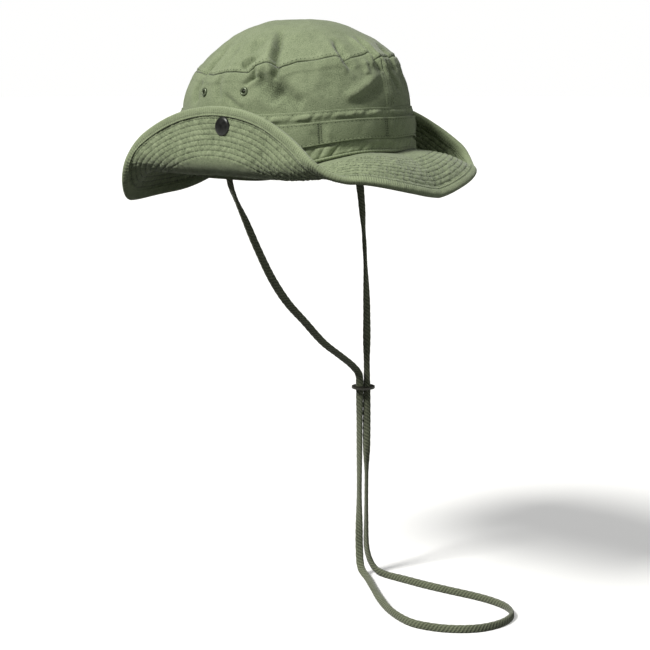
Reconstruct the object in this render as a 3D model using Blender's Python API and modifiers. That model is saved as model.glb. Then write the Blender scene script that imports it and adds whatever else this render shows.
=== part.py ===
"""Boonie hat with snap-up side brims, foliage loops and a long chin cord.

Units are metres, +Z is up, -Y is the front of the hat and +X is the wearer's left.
The origin is the middle of the head opening, level with the brim seam at the front.
The brim is a flat oval sheet that is bent twice: across the hat it curls up at both
sides, and along the hat it droops at the front and the back. A point of the sheet is
named by where it would lie if the sheet were flat.
"""
import math

import bmesh
import bpy
from mathutils import Vector

# Head opening and crown
SEAM_HALF_WIDTH = 0.090
SEAM_HALF_LENGTH = 0.102
WALL_HEIGHT = 0.070
WALL_TAPER = 0.020
WALL_SHOULDER = 0.125
TOP_TILT = 0.006
DOME_HEIGHT = 0.036
DOME_POWER = 2.6
CLOTH = 0.0007
GAP = 0.0003

# Bands round the crown, as heights above the brim seam
CROWN_BAND = (0.0022, 0.0358)
CROWN_BAND_THICKNESS = 0.0006
LOOP_BAND = (0.0130, 0.0285)
LOOP_BAND_THICKNESS = 0.0009
SWEATBAND = (-0.0025, 0.0200)
SWEATBAND_THICKNESS = 0.0008
SEAM_TAPE_THICKNESS = 0.0005
PIPING_RADIUS = 0.0011

# Brim sheet
SIDE_WIDTH = 0.059
FRONT_WIDTH = 0.058
BACK_WIDTH = 0.0450
CORNER_TRIM = 0.0070
CORNER_ANGLE = math.radians(42)
CORNER_SPREAD = math.radians(19)
SLOPE_START = 0.020
CURL_START = 0.081
SIDE_SLOPE = math.radians(28)
FLAP_LEAN = math.radians(98)
CURL_RADIUS = 0.014
FRONT_DROOP = (0.100, 0.150, math.radians(54))
BACK_DROOP = (0.088, 0.140, math.radians(78))
TWIST = 0.19
TWIST_REACH = (0.080, 0.140)
FRONT_RAISE = 0.080
RAISE_REACH = (0.065, 0.135)
INTERLINING = 0.0008
BINDING_THICKNESS = 0.0006
BINDING_WIDTH = 0.0068
BINDING_CLEARANCE = 0.0010
BINDING_GAP = 0.0009
BINDING_SLACK = 0.006
BRIM_INNER_GAP = 0.0012

# Where the brim bends: the fold strip lies between the brim body and each flap
FOLD_START = 0.0945
FOLD_END = 0.1125
CUT_GAP = 0.0004

# Snap fasteners that hold the flaps up
SNAP_FROM_EDGE = 0.0140
SNAP_FORWARD = 0.0085
CAP_RADIUS = 0.0075
CAP_HEIGHT = 0.0022
SOCKET_RADIUS = 0.0062
SOCKET_BORE = 0.0040
SOCKET_HEIGHT = 0.0026
STUD_RADIUS = 0.0024
STUD_REACH = 0.0016
STUD_BASE_RADIUS = 0.0055
SNAP_STEM = 0.0016
SNAP_HOLE = 0.0021

# Vent eyelets, as angles from the middle of each side and a height above the seam
VENT_ANGLES = (math.radians(-10.5), math.radians(16.5))
VENT_HEIGHT = 0.0505
VENT_BORE = 0.0015
VENT_BARREL = 0.0023
VENT_HOLE = 0.0026
VENT_FLANGE = 0.0037

# Chin cord and its slider
CORD_DIAMETER = 0.0050
SLIDER_CENTRE = (0.0860, -0.0050, -0.2180)
STRAND_DIRECTION = (0.643, -0.766)
STRAND_SPACING = 0.0066
SLIDER_RADIUS = 0.0105
SLIDER_THICKNESS = 0.0018
SLIDER_HOLE = 0.0029
CORD_POINT_SPACING = 0.0110

COLUMNS = 40
SIDE_NAMES = {-1: "right", 1: "left"}

FLOOR_Z = -0.3950
CORD_LIES = FLOOR_Z + CORD_DIAMETER / 2
CORD_ROUTE = [
    (-0.0812, 0.0000, -0.0150), (-0.0808, 0.0000, -0.0210), (-0.0782, -0.0001, -0.0290),
    (-0.0716, -0.0002, -0.0410), (-0.0628, -0.0004, -0.0555), (-0.0490, -0.0006, -0.0795),
    (-0.0320, -0.0008, -0.1060), (-0.0130, -0.0010, -0.1285), (0.0090, -0.0012, -0.1480), (0.0340, -0.0014, -0.1700),
    (0.0590, -0.0015, -0.1865), (0.0742, -0.0018, -0.1970), (0.0826, -0.0024, -0.2060),
    (0.0839, -0.0025, -0.2160), (0.0839, -0.0025, -0.2300), (0.0839, -0.0025, -0.2600),
    (0.0839, -0.0025, -0.3000),
    (0.0839, -0.0025, -0.3400), (0.0837, -0.0030, -0.3700), (0.0808, -0.0075, -0.3868),
    (0.0730, -0.0220, CORD_LIES), (0.0560, -0.0420, CORD_LIES), (0.0370, -0.0650, CORD_LIES),
    (0.0200, -0.0900, CORD_LIES), (0.0105, -0.1160, CORD_LIES), (0.0130, -0.1370, CORD_LIES),
    (0.0220, -0.1550, CORD_LIES), (0.0360, -0.1690, CORD_LIES), (0.0530, -0.1760, CORD_LIES),
    (0.0690, -0.1765, CORD_LIES), (0.0830, -0.1710, CORD_LIES), (0.0930, -0.1580, CORD_LIES),
    (0.0970, -0.1400, CORD_LIES), (0.0970, -0.1210, CORD_LIES), (0.0945, -0.0970, CORD_LIES),
    (0.0925, -0.0720, CORD_LIES), (0.0920, -0.0480, CORD_LIES), (0.0918, -0.0270, CORD_LIES),
    (0.0905, -0.0145, -0.3868), (0.0883, -0.0082, -0.3700), (0.0881, -0.0075, -0.3400),
    (0.0881, -0.0075, -0.3000), (0.0881, -0.0075, -0.2600), (0.0881, -0.0075, -0.2180),
    (0.0880, -0.0072, -0.1900), (0.0882, -0.0066, -0.1400), (0.0876, -0.0044, -0.0900),
    (0.0860, -0.0018, -0.0480), (0.0832, -0.0007, -0.0270),
    (0.0812, 0.0000, -0.0150),
]


def material(name, colour, roughness, metallic=0.0):
    """One Principled material with a plain colour."""
    made = bpy.data.materials.new(name)
    made.use_nodes = True
    shader = made.node_tree.nodes["Principled BSDF"]
    shader.inputs["Base Color"].default_value = (*colour, 1.0)
    shader.inputs["Roughness"].default_value = roughness
    shader.inputs["Metallic"].default_value = metallic
    return made


def add_object(name, data, look, collection, parent=None):
    """Link one named object with its own material, placed by its parent's origin."""
    thing = bpy.data.objects.new(name, data)
    collection.objects.link(thing)
    data.materials.append(material(name, *look))
    if parent is not None:
        thing.parent = parent
        thing.location = -parent.location
    return thing


def grid_mesh(name, rows, closed=False, centre=None):
    """Open surface through rows of points; closed joins each row's end to its start."""
    shape = bmesh.new()
    made = [[shape.verts.new(point) for point in row] for row in rows]
    for lower, upper in zip(made, made[1:]):
        for i in range(len(lower) if closed else len(lower) - 1):
            j = (i + 1) % len(lower)
            shape.faces.new((lower[i], lower[j], upper[j], upper[i]))
    if centre is not None:
        top = shape.verts.new(centre)
        last = made[-1]
        for i in range(len(last)):
            shape.faces.new((last[i], last[(i + 1) % len(last)], top))
    mesh = bpy.data.meshes.new(name)
    shape.to_mesh(mesh)
    shape.free()
    mesh.shade_smooth()
    return mesh


def sheet(name, rows, thickness, look, collection, closed=False, centre=None, parent=None):
    """A sewn cloth piece: the middle surface with an even thickness."""
    mesh = grid_mesh(name, rows, closed, centre)
    piece = add_object(name, mesh, look, collection, parent)
    solidify = piece.modifiers.new("thickness", "SOLIDIFY")
    solidify.thickness = thickness
    solidify.offset = 0.0
    solidify.use_even_offset = True
    return piece


def smooth_step(value, low, high):
    """0 below low, 1 above high and an easy curve between."""
    t = min(1.0, max(0.0, (value - low) / (high - low)))
    return t * t * (3 - 2 * t)


def follow(spans, distance):
    """Along, up and heading after a distance on a line that turns evenly over each span."""
    along = up = heading = done = 0.0
    for start, end, turn in spans:
        straight = max(0.0, min(distance, start) - done)
        along += straight * math.cos(heading)
        up += straight * math.sin(heading)
        bent = max(0.0, min(distance, end) - start)
        if bent > 0.0:
            radius = (end - start) / turn
            after = heading + bent / radius
            along += radius * (math.sin(after) - math.sin(heading))
            up -= radius * (math.cos(after) - math.cos(heading))
            heading = after
        done = end
    rest = max(0.0, distance - done)
    return along + rest * math.cos(heading), up + rest * math.sin(heading), heading


CURL_TURN = SIDE_SLOPE + FLAP_LEAN
ACROSS = [(SLOPE_START, CURL_START, -SIDE_SLOPE),
          (CURL_START, CURL_START + CURL_RADIUS * CURL_TURN, CURL_TURN)]


def brim_point(flat_x, flat_y, lift=0.0):
    """Place a point of the flat brim sheet on the bent brim, lifted along its normal."""
    side_x = math.copysign(1.0, flat_x)
    side_y = math.copysign(1.0, flat_y)
    start, end, turn = FRONT_DROOP if flat_y < 0 else BACK_DROOP
    x, rise, curl = follow(ACROSS, abs(flat_x))
    y, fall, droop = follow([(start, end, -turn)], abs(flat_y))
    twist = TWIST * side_x * x * smooth_step(flat_y, *TWIST_REACH)
    raised = FRONT_RAISE * x * smooth_step(-flat_y, *RAISE_REACH)
    place = Vector((side_x * x, side_y * y, rise + fall + twist + raised))
    normal = Vector((-side_x * math.sin(curl) * math.cos(droop),
                     -side_y * math.cos(curl) * math.sin(droop),
                     math.cos(curl) * math.cos(droop)))
    return place + normal.normalized() * lift


def brim_width(angle):
    """Width of the brim sheet at an angle round the hat, 0 at the front."""
    front = max(0.0, math.cos(angle)) ** 2
    back = max(0.0, -math.cos(angle)) ** 2
    away = (abs(math.remainder(angle, 2 * math.pi)) - CORNER_ANGLE) / CORNER_SPREAD
    return (SIDE_WIDTH + (FRONT_WIDTH - SIDE_WIDTH) * front + (BACK_WIDTH - SIDE_WIDTH) * back
            - CORNER_TRIM * math.exp(-away * away))


def seam_normal(angle):
    """Outward level direction at an angle round the seam oval."""
    return Vector((-math.sin(angle) / SEAM_HALF_WIDTH,
                   -math.cos(angle) / SEAM_HALF_LENGTH, 0.0)).normalized()


def flat_point(angle, out):
    """Flat sheet point at an angle, a distance outward from the seam oval."""
    normal = seam_normal(angle)
    return (-SEAM_HALF_WIDTH * math.sin(angle) + normal.x * out,
            -SEAM_HALF_LENGTH * math.cos(angle) + normal.y * out)


def crown_point(angle, height, out=0.0):
    """A point of the crown wall: height above the seam, offset level and outward."""
    t = height / WALL_HEIGHT
    shrink = 1.0 - WALL_TAPER * t - WALL_SHOULDER * max(0.0, t) ** 4
    foot = brim_point(*flat_point(angle, 0.0))
    rise = height + foot.z * (1 - t) ** 2 + TOP_TILT * math.cos(angle) * t * t
    return Vector((foot.x * shrink, foot.y * shrink, rise)) + seam_normal(angle) * out


def wall_normal(angle, height):
    """Direction square to the crown wall at an angle and a height."""
    step = 0.002
    up = crown_point(angle, height + step) - crown_point(angle, height - step)
    around = crown_point(angle + 0.02, height) - crown_point(angle - 0.02, height)
    normal = up.cross(around).normalized()
    return normal if normal.dot(seam_normal(angle)) > 0 else -normal


def dome_point(angle, share, drop=0.0):
    """A point of the crown's top: share is 1 at the top seam and 0 in the middle."""
    rim = crown_point(angle, WALL_HEIGHT, -drop)
    lift = DOME_HEIGHT * (1 - share ** DOME_POWER)
    tilt = TOP_TILT * math.cos(angle) * share * share
    return Vector((rim.x * share, rim.y * share, WALL_HEIGHT + lift + tilt - drop))


def angles(first=0.0, last=2 * math.pi, count=COLUMNS, closed=True):
    """Evenly spaced angles; a closed ring leaves out the last one."""
    steps = count if closed else count + 1
    return [first + (last - first) * i / count for i in range(steps)]


def ring_rows(heights, out):
    """Rows of a closed band round the crown."""
    return [[crown_point(a, h, out) for a in angles()] for h in heights]


def edge_flat_x(flat_y):
    """How far the brim's edge is from the middle line at a flat length position."""
    low, high = 0.0, math.pi
    for _ in range(50):
        middle = (low + high) / 2
        if flat_point(middle, brim_width(middle))[1] < flat_y:
            low = middle
        else:
            high = middle
    return abs(flat_point(low, brim_width(low))[0])


def edge_flat_y(flat_x, towards_back):
    """Flat length position where the brim's edge crosses a flat width position."""
    low, high = (math.pi / 2, math.pi) if towards_back else (math.pi / 2, 0.0)
    for _ in range(50):
        middle = (low + high) / 2
        if abs(flat_point(middle, brim_width(middle))[0]) > flat_x:
            low = middle
        else:
            high = middle
    return flat_point(low, brim_width(low))[1]


def body_reach(angle):
    """Distance outward from the seam to the brim body's outer edge or to the fold line."""
    edge = brim_width(angle)
    if abs(flat_point(angle, edge)[0]) <= FOLD_START:
        return edge
    low, high = 0.0, edge
    for _ in range(50):
        middle = (low + high) / 2
        if abs(flat_point(angle, middle)[0]) < FOLD_START:
            low = middle
        else:
            high = middle
    return low


def body_angles():
    """Columns of the brim body, close together where its corners curl up."""
    front = edge_angle(FOLD_START, False)
    back = edge_angle(FOLD_START, True)
    front_curl = edge_angle(CURL_START, False)
    back_curl = edge_angle(CURL_START, True)
    half = [front_curl * i / 5 for i in range(5)]
    half += [front_curl + (front - front_curl) * i / 4 for i in range(4)] + [front - BINDING_SLACK]
    half += [front + (back - front) * i / 8 for i in range(9)]
    half += [back + BINDING_SLACK] + [back + (back_curl - back) * i / 4 for i in range(1, 4)]
    half += [back_curl + (math.pi - back_curl) * i / 5 for i in range(5)]
    return half + [math.pi] + [2 * math.pi - a for a in reversed(half[1:])]


def body_rows(lift, inner=BRIM_INNER_GAP):
    """Rows of the brim body from the seam to its outer edge; the last one lies in the binding."""
    rows = []
    for share in (0.0, 0.5, 1.0, None):
        row = []
        for angle in body_angles():
            reach = body_reach(angle)
            bound = max(inner + 0.7 * (reach - inner), reach - BINDING_WIDTH)
            out = reach if share is None else inner + (bound - inner) * share
            row.append(brim_point(*flat_point(angle, out), lift))
        rows.append(row)
    return rows


def side_rows(side, inner_x, outer_x, lift, steps, margin):
    """Rows of a fold strip or a flap, from its inner line to its outer line or the edge.

    The columns are close together where the brim also droops to the front and the back.
    """
    front = edge_flat_y(inner_x, False) + margin
    back = edge_flat_y(inner_x, True) - margin
    straight = 0.080
    columns = [front + (-straight - front) * i / 6 for i in range(6)]
    columns += [straight * (i / 2 - 1) for i in range(4)]
    columns += [straight + (back - straight) * i / 6 for i in range(7)]
    rows = []
    for step in range(steps + 1):
        row = []
        for flat_y in columns:
            reach = min(outer_x, edge_flat_x(flat_y))
            row.append(brim_point(side * (inner_x + (reach - inner_x) * step / steps), flat_y, lift))
        rows.append(row)
    return rows


BRIM_STACK = {"under": -(INTERLINING / 2 + GAP + CLOTH / 2), "interlining": 0.0,
              "top": INTERLINING / 2 + GAP + CLOTH / 2}
BINDING_LIFT = INTERLINING / 2 + GAP + CLOTH + BINDING_GAP + BINDING_THICKNESS / 2


def binding_rows(line, inward):
    """Rows of the folded edge binding: a U round the three layers of the brim.

    line gives the flat edge points and inward the flat direction to the seam at each.
    """
    corner = 0.0008
    section = [(BINDING_WIDTH, BINDING_LIFT), (-corner / 2, BINDING_LIFT), (-2 * corner, 0.0),
               (-corner / 2, -BINDING_LIFT), (BINDING_WIDTH, -BINDING_LIFT)]
    rows = []
    for depth, lift in section:
        rows.append([brim_point(x + dx * depth, y + dy * depth, lift)
                     for (x, y), (dx, dy) in zip(line, inward)])
    return rows


def edge_line(around, kind):
    """Flat edge points at angles round the hat with the inward direction at each.

    The direction keeps the binding of a fold strip or a flap inside its own cut lines.
    """
    line = []
    inward = []
    for angle in around:
        x, y = flat_point(angle, brim_width(angle) + BINDING_CLEARANCE)
        direction = -seam_normal(angle)
        if kind == "fold":
            direction = Vector((0.0, -y, 0.0)).normalized()
        if kind == "flap":
            direction = Vector((math.copysign(FOLD_END, x) - x, -y, 0.0)).normalized()
        line.append((x, y))
        inward.append((direction.x, direction.y))
    return line, inward


def edge_angle(flat_x, towards_back):
    """Angle on the wearer's right at which the brim's edge passes a flat width position."""
    low, high = (math.pi / 2, math.pi) if towards_back else (math.pi / 2, 0.0)
    for _ in range(50):
        middle = (low + high) / 2
        if abs(flat_point(middle, brim_width(middle))[0]) > flat_x:
            low = middle
        else:
            high = middle
    return low


def flap_pivot():
    """Pivot of a flap in the XZ plane: it carries the flap from bent up to unbent."""
    start_x, start_z, start_heading = follow(ACROSS, FOLD_START)
    end_x, end_z, end_heading = follow(ACROSS, FOLD_END)
    length = FOLD_END - FOLD_START
    open_x = start_x + length * math.cos(start_heading)
    open_z = start_z + length * math.sin(start_heading)
    turn = end_heading - start_heading
    move_x, move_z = open_x - end_x, open_z - end_z
    reach = 0.5 / math.tan(turn / 2)
    return (end_x + open_x) / 2 + move_z * reach, (end_z + open_z) / 2 - move_x * reach


def cylinder(radius, depth, centre, axis, segments=16):
    """A closed cylinder as a bmesh, with its axis turned along a direction."""
    shape = bmesh.new()
    bmesh.ops.create_cone(shape, cap_ends=True, segments=segments, radius1=radius,
                          radius2=radius, depth=depth)
    turn = Vector((0, 0, 1)).rotation_difference(Vector(axis)).to_matrix()
    bmesh.ops.rotate(shape, cent=(0, 0, 0), matrix=turn, verts=shape.verts)
    bmesh.ops.translate(shape, vec=centre, verts=shape.verts)
    return shape


def cutter(name, shapes, collection):
    """One hidden object made of several closed cylinders."""
    mesh = bpy.data.meshes.new(name)
    whole = bmesh.new()
    for shape in shapes:
        part = bpy.data.meshes.new(name + "_part")
        shape.to_mesh(part)
        shape.free()
        whole.from_mesh(part)
        bpy.data.meshes.remove(part)
    whole.to_mesh(mesh)
    whole.free()
    thing = bpy.data.objects.new(name, mesh)
    thing.hide_render = True
    thing.display_type = "WIRE"
    collection.objects.link(thing)
    return thing


def cut(piece, tool):
    """Subtract a cutter from a piece."""
    boolean = piece.modifiers.new("cut", "BOOLEAN")
    boolean.operation = "DIFFERENCE"
    boolean.solver = "EXACT"
    boolean.object = tool


def turned(profile, centre, axis, segments=16):
    """A closed turned body: profile is (radius, height) pairs along an axis through centre."""
    shape = bmesh.new()
    turn = Vector((0, 0, 1)).rotation_difference(Vector(axis).normalized()).to_matrix()
    rings = []
    for radius, height in profile:
        count = 1 if radius == 0.0 else segments
        rings.append([shape.verts.new(Vector(centre) + turn @ Vector(
            (radius * math.cos(a), radius * math.sin(a), height))) for a in angles(count=count)])
    if len(rings[0]) > 1:
        rings.append(rings[0])
    for lower, upper in zip(rings, rings[1:]):
        for i in range(segments):
            j = (i + 1) % segments
            corners = [lower[i % len(lower)], lower[j % len(lower)],
                       upper[j % len(upper)], upper[i % len(upper)]]
            shape.faces.new(list(dict.fromkeys(corners)))
    bmesh.ops.recalc_face_normals(shape, faces=shape.faces)
    mesh = bpy.data.meshes.new("turned")
    shape.to_mesh(mesh)
    shape.free()
    mesh.shade_smooth()
    mesh.set_sharp_from_angle(angle=math.radians(40))
    return mesh


def smooth_route(route, spacing):
    """Points at an even spacing along a smooth curve through the route."""
    points = [Vector(p) for p in route]
    ends = [points[0] * 2 - points[1]] + points + [points[-1] * 2 - points[-2]]
    dense = []
    for a, b, c, d in zip(ends, ends[1:], ends[2:], ends[3:]):
        for i in range(24):
            t = i / 24
            dense.append(0.5 * (2 * b + (c - a) * t + (2 * a - 5 * b + 4 * c - d) * t * t
                                + (3 * b - a - 3 * c + d) * t ** 3))
    dense.append(points[-1])
    steps = [(q - p).length for p, q in zip(dense, dense[1:])]
    count = round(sum(steps) / spacing)
    step = sum(steps) / count
    even = [dense[0]]
    travelled = 0.0
    for p, q, length in zip(dense, dense[1:], steps):
        while length > 0 and len(even) < count and travelled + length >= step * len(even):
            even.append(p.lerp(q, (step * len(even) - travelled) / length))
        travelled += length
    even.append(dense[-1])
    return even


def tube(name, points, radius, look, collection, resolution=2, cyclic=False):
    """A round tube along points."""
    data = bpy.data.curves.new(name, "CURVE")
    data.dimensions = "3D"
    data.bevel_depth = radius
    data.bevel_resolution = resolution
    data.use_fill_caps = not cyclic
    data.render_resolution_u = 0
    spline = data.splines.new("POLY")
    spline.points.add(len(points) - 1)
    for target, point in zip(spline.points, points):
        target.co = (*point, 1.0)
    spline.use_cyclic_u = cyclic
    return add_object(name, data, look, collection)


OLIVE = (0.275, 0.330, 0.190)
OLIVE_DARK = (0.200, 0.245, 0.140)
CLOTH_LOOK = (OLIVE, 0.92)
INNER_LOOK = (OLIVE_DARK, 0.95)
CORD_LOOK = ((0.180, 0.215, 0.120), 0.90)
GREEN_METAL = ((0.130, 0.170, 0.095), 0.45, 0.6)
DARK_METAL = ((0.030, 0.032, 0.030), 0.35, 0.8)
LEATHER_LOOK = ((0.045, 0.045, 0.035), 0.60)


def make_crown(hat, vents, snap_holes):
    """Top, two side panels, seam tape, bands and sweatband."""
    wall_heights = [-0.0012, 0.020, 0.039, 0.052, 0.062, WALL_HEIGHT]
    sheet("crown_tip", [[dome_point(a, share, CLOTH / 2) for a in angles()]
                        for share in (0.996, 0.92, 0.78, 0.56, 0.28)],
          CLOTH, CLOTH_LOOK, hat, closed=True, centre=dome_point(0.0, 0.0, CLOTH / 2))
    trim = 0.0015
    for side, first in ((-1, 0.0), (1, math.pi)):
        spread = angles(first, first + math.pi, COLUMNS // 2, closed=False)
        spread[0] += trim
        spread[-1] -= trim
        rows = [[crown_point(a, h, -CLOTH / 2) for a in spread] for h in wall_heights]
        panel = sheet("side_panel_" + SIDE_NAMES[side], rows, CLOTH, CLOTH_LOOK, hat)
        cut(panel, vents)
        cut(panel, snap_holes)
    tape = CLOTH + GAP + SEAM_TAPE_THICKNESS / 2 + 0.0003
    rows = ring_rows((0.0650, 0.0690), -tape)
    rows.append([dome_point(a, 0.95, tape + 0.0002) for a in angles()])
    sheet("crown_seam_tape", rows, SEAM_TAPE_THICKNESS, INNER_LOOK, hat, closed=True)
    band_out = GAP + CROWN_BAND_THICKNESS / 2
    band = sheet("crown_band", ring_rows((CROWN_BAND[0], 0.020, CROWN_BAND[1]), band_out),
                 CROWN_BAND_THICKNESS, CLOTH_LOOK, hat, closed=True)
    cut(band, snap_holes)
    loop_out = 2 * GAP + CROWN_BAND_THICKNESS + LOOP_BAND_THICKNESS / 2
    loops = sheet("foliage_loop_band", ring_rows(LOOP_BAND, loop_out),
                  LOOP_BAND_THICKNESS, CLOTH_LOOK, hat, closed=True)
    cut(loops, snap_holes)
    sweat_out = -(CLOTH + GAP + SWEATBAND_THICKNESS / 2)
    sheet("sweatband", ring_rows(SWEATBAND, sweat_out),
          SWEATBAND_THICKNESS, INNER_LOOK, hat, closed=True)


def make_piping(hat):
    """The raised corded seam that runs round the foot of the crown."""
    out = 2 * GAP + CROWN_BAND_THICKNESS + PIPING_RADIUS
    height = 0.0014 + 2 * GAP + PIPING_RADIUS
    line = [crown_point(a, height, out) for a in angles()]
    tube("brim_seam_piping", line, PIPING_RADIUS, CLOTH_LOOK, hat, resolution=1, cyclic=True)


def make_brim(hat, hinges, cap_holes):
    """Brim body, fold strips and flaps, each of three layers, and the edge binding."""
    thickness = {"under": CLOTH, "interlining": INTERLINING, "top": CLOTH}
    for layer, lift in BRIM_STACK.items():
        look = INNER_LOOK if layer == "interlining" else CLOTH_LOOK
        sheet("brim_body_" + layer, body_rows(lift), thickness[layer], look, hat, closed=True)
        for side, name in SIDE_NAMES.items():
            rows = side_rows(side, FOLD_START + CUT_GAP, FOLD_END, lift, 3, 0.006)
            sheet(f"{name}_fold_{layer}", rows, thickness[layer], look, hat)
            rows = side_rows(side, FOLD_END + CUT_GAP, 1.0, lift, 2, 0.004)
            flap = sheet(f"{name}_flap_{layer}", rows, thickness[layer], look, hat,
                         parent=hinges[side])
            cut(flap, cap_holes)
    make_binding(hat, hinges)


def make_binding(hat, hinges):
    """Edge binding, split where the brim bends."""
    body_front = edge_angle(FOLD_START, False)
    body_back = edge_angle(FOLD_START, True)
    flap_front = edge_angle(FOLD_END, False)
    flap_back = edge_angle(FOLD_END, True)
    slack = BINDING_SLACK
    around = body_angles()
    front = [a for a in around if a <= body_front - slack]
    front = [-a for a in reversed(front[1:])] + front
    back = [a for a in around if body_back + slack <= a <= 2 * math.pi - body_back - slack]
    for name, columns in (("binding_front", front), ("binding_back", back)):
        sheet(name, binding_rows(*edge_line(columns, "body")), BINDING_THICKNESS,
              CLOTH_LOOK, hat)
    for side, name in SIDE_NAMES.items():
        spans = (("flap_binding", flap_front + slack, flap_back - slack, 16, hinges[side]),
                 ("fold_binding_front", body_front + slack / 2, flap_front - slack / 2, 5, None),
                 ("fold_binding_back", flap_back + slack / 2, body_back - slack / 2, 5, None))
        for ending, first, last, count, parent in spans:
            columns = [-side * a for a in angles(first, last, count, closed=False)]
            rows = binding_rows(*edge_line(columns, ending[:4]))
            sheet(f"{name}_{ending}", rows, BINDING_THICKNESS, CLOTH_LOOK, hat, parent=parent)


def snap_place(side):
    """Centre of a flap's snap on the brim sheet and the direction out of its underside."""
    flat_x = edge_flat_x(0.0) - SNAP_FROM_EDGE
    middle = brim_point(side * flat_x, -SNAP_FORWARD)
    outward = (brim_point(side * flat_x, -SNAP_FORWARD, -0.001) - middle).normalized()
    return middle, outward


def make_snaps(hat, hinges):
    """Cap and socket on each flap, stud and post on the crown."""
    half = INTERLINING / 2 + GAP + CLOTH
    band_out = 2 * GAP + CROWN_BAND_THICKNESS + LOOP_BAND_THICKNESS
    for side, name in SIDE_NAMES.items():
        middle, outward = snap_place(side)
        face = half + GAP
        cap = [(0.0, face + CAP_HEIGHT), (CAP_RADIUS * 0.55, face + CAP_HEIGHT * 0.9),
               (CAP_RADIUS * 0.88, face + CAP_HEIGHT * 0.55), (CAP_RADIUS, face + CAP_HEIGHT * 0.15),
               (CAP_RADIUS, face), (SNAP_STEM, face), (SNAP_STEM, -half - 0.0006),
               (0.0, -half - 0.0006)]
        add_object("snap_cap_" + name, turned(cap, middle, outward, 20), DARK_METAL, hat,
                   hinges[side])
        ring = [(SOCKET_BORE, -face), (SOCKET_RADIUS, -face), (SOCKET_RADIUS, -face - 0.0010),
                (SOCKET_RADIUS * 0.86, -face - SOCKET_HEIGHT), (SOCKET_BORE, -face - SOCKET_HEIGHT)]
        add_object("snap_socket_" + name, turned(ring, middle, outward), DARK_METAL, hat,
                   hinges[side])
        level = Vector((side, 0.0, 0.0))
        wall = crown_point(snap_angle(side), snap_height(side))
        base = band_out + GAP
        socket_mouth = abs(middle.x) - face - SOCKET_HEIGHT - abs(wall.x)
        stud = [(0.0, socket_mouth + STUD_REACH), (STUD_RADIUS * 0.8, socket_mouth + STUD_REACH),
                (STUD_RADIUS, socket_mouth + STUD_REACH - 0.0005), (STUD_RADIUS, base + 0.0008),
                (STUD_BASE_RADIUS, base + 0.0006), (STUD_BASE_RADIUS, base), (SNAP_STEM, base),
                (SNAP_STEM, -CLOTH), (0.0, -CLOTH)]
        add_object("snap_stud_" + name, turned(stud, wall, level), DARK_METAL, hat)
        inner = -CLOTH - 3 * GAP
        post = [(0.0, inner), (0.0042, inner), (0.0042, inner - 0.0007), (0.0, inner - 0.0009)]
        add_object("snap_post_" + name, turned(post, wall, level, 14), DARK_METAL, hat)


def snap_angle(side):
    """Angle round the hat at which the crown wall faces the flap's snap."""
    return -side * math.acos(SNAP_FORWARD / SEAM_HALF_LENGTH)


def snap_height(side):
    """Height above the seam on the crown wall that faces the flap's snap."""
    target = snap_place(side)[0].z
    low, high = 0.0, WALL_HEIGHT
    for _ in range(40):
        middle = (low + high) / 2
        if crown_point(snap_angle(side), middle).z < target:
            low = middle
        else:
            high = middle
    return low


def vent_places():
    """Name, centre on the wall's outer face and outward direction of the four vents."""
    places = []
    for side, name in SIDE_NAMES.items():
        for end, angle in zip(("front", "back"), VENT_ANGLES):
            around = -side * (math.pi / 2 + angle)
            places.append((f"{name}_{end}", crown_point(around, VENT_HEIGHT),
                           wall_normal(around, VENT_HEIGHT)))
    return places


def make_vents(hat):
    """Four metal eyelets through the side panels, each with a washer inside."""
    lift = 0.0006
    eyelet = [(VENT_BORE, lift + 0.0008), (VENT_BARREL, lift + 0.0011),
              (VENT_FLANGE - 0.0005, lift + 0.0007), (VENT_FLANGE, lift), (VENT_BARREL, lift),
              (VENT_BARREL, -CLOTH - 0.0018), (VENT_BORE, -CLOTH - 0.0018)]
    inner = -CLOTH - 0.0007
    washer = [(VENT_BARREL + GAP, inner), (VENT_FLANGE, inner), (VENT_FLANGE, inner - 0.0006),
              (VENT_BARREL + GAP, inner - 0.0006)]
    for name, centre, axis in vent_places():
        add_object("vent_eyelet_" + name, turned(eyelet, centre, axis, 14), GREEN_METAL, hat)
        add_object("vent_washer_" + name, turned(washer, centre, axis, 14), GREEN_METAL, hat)


def make_cord(hat):
    """Chin cord, its sewn tabs and the two-hole slider that rides on both strands."""
    tab_out = -(CLOTH + GAP + SWEATBAND_THICKNESS + GAP + 0.0005)
    for side, name in SIDE_NAMES.items():
        middle = -side * math.pi / 2
        rows = [[crown_point(middle + d, h, tab_out) for d in (-0.05, 0.0, 0.05)]
                for h in (0.0030, 0.0090, 0.0150)]
        sheet("cord_tab_" + name, rows, 0.0010, CORD_LOOK, hat)
    tube("chin_cord", smooth_route(CORD_ROUTE, CORD_POINT_SPACING), CORD_DIAMETER / 2,
         CORD_LOOK, hat)
    shape = cylinder(SLIDER_RADIUS, SLIDER_THICKNESS, (0, 0, 0), (0, 0, 1), 28)
    mesh = bpy.data.meshes.new("cord_slider")
    shape.to_mesh(mesh)
    shape.free()
    slider = add_object("cord_slider", mesh, LEATHER_LOOK, hat)
    slider.location = SLIDER_CENTRE
    return slider


def slider_cutter(tools):
    """The two holes of the slider, side by side along the line of the strands."""
    shapes = []
    for side in (-0.5, 0.5):
        centre = [SLIDER_CENTRE[0] + side * STRAND_SPACING * STRAND_DIRECTION[0],
                  SLIDER_CENTRE[1] + side * STRAND_SPACING * STRAND_DIRECTION[1], SLIDER_CENTRE[2]]
        shapes.append(cylinder(SLIDER_HOLE, 4 * SLIDER_THICKNESS, centre, (0, 0, 1), 14))
    return cutter("slider_holes", shapes, tools)


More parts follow.
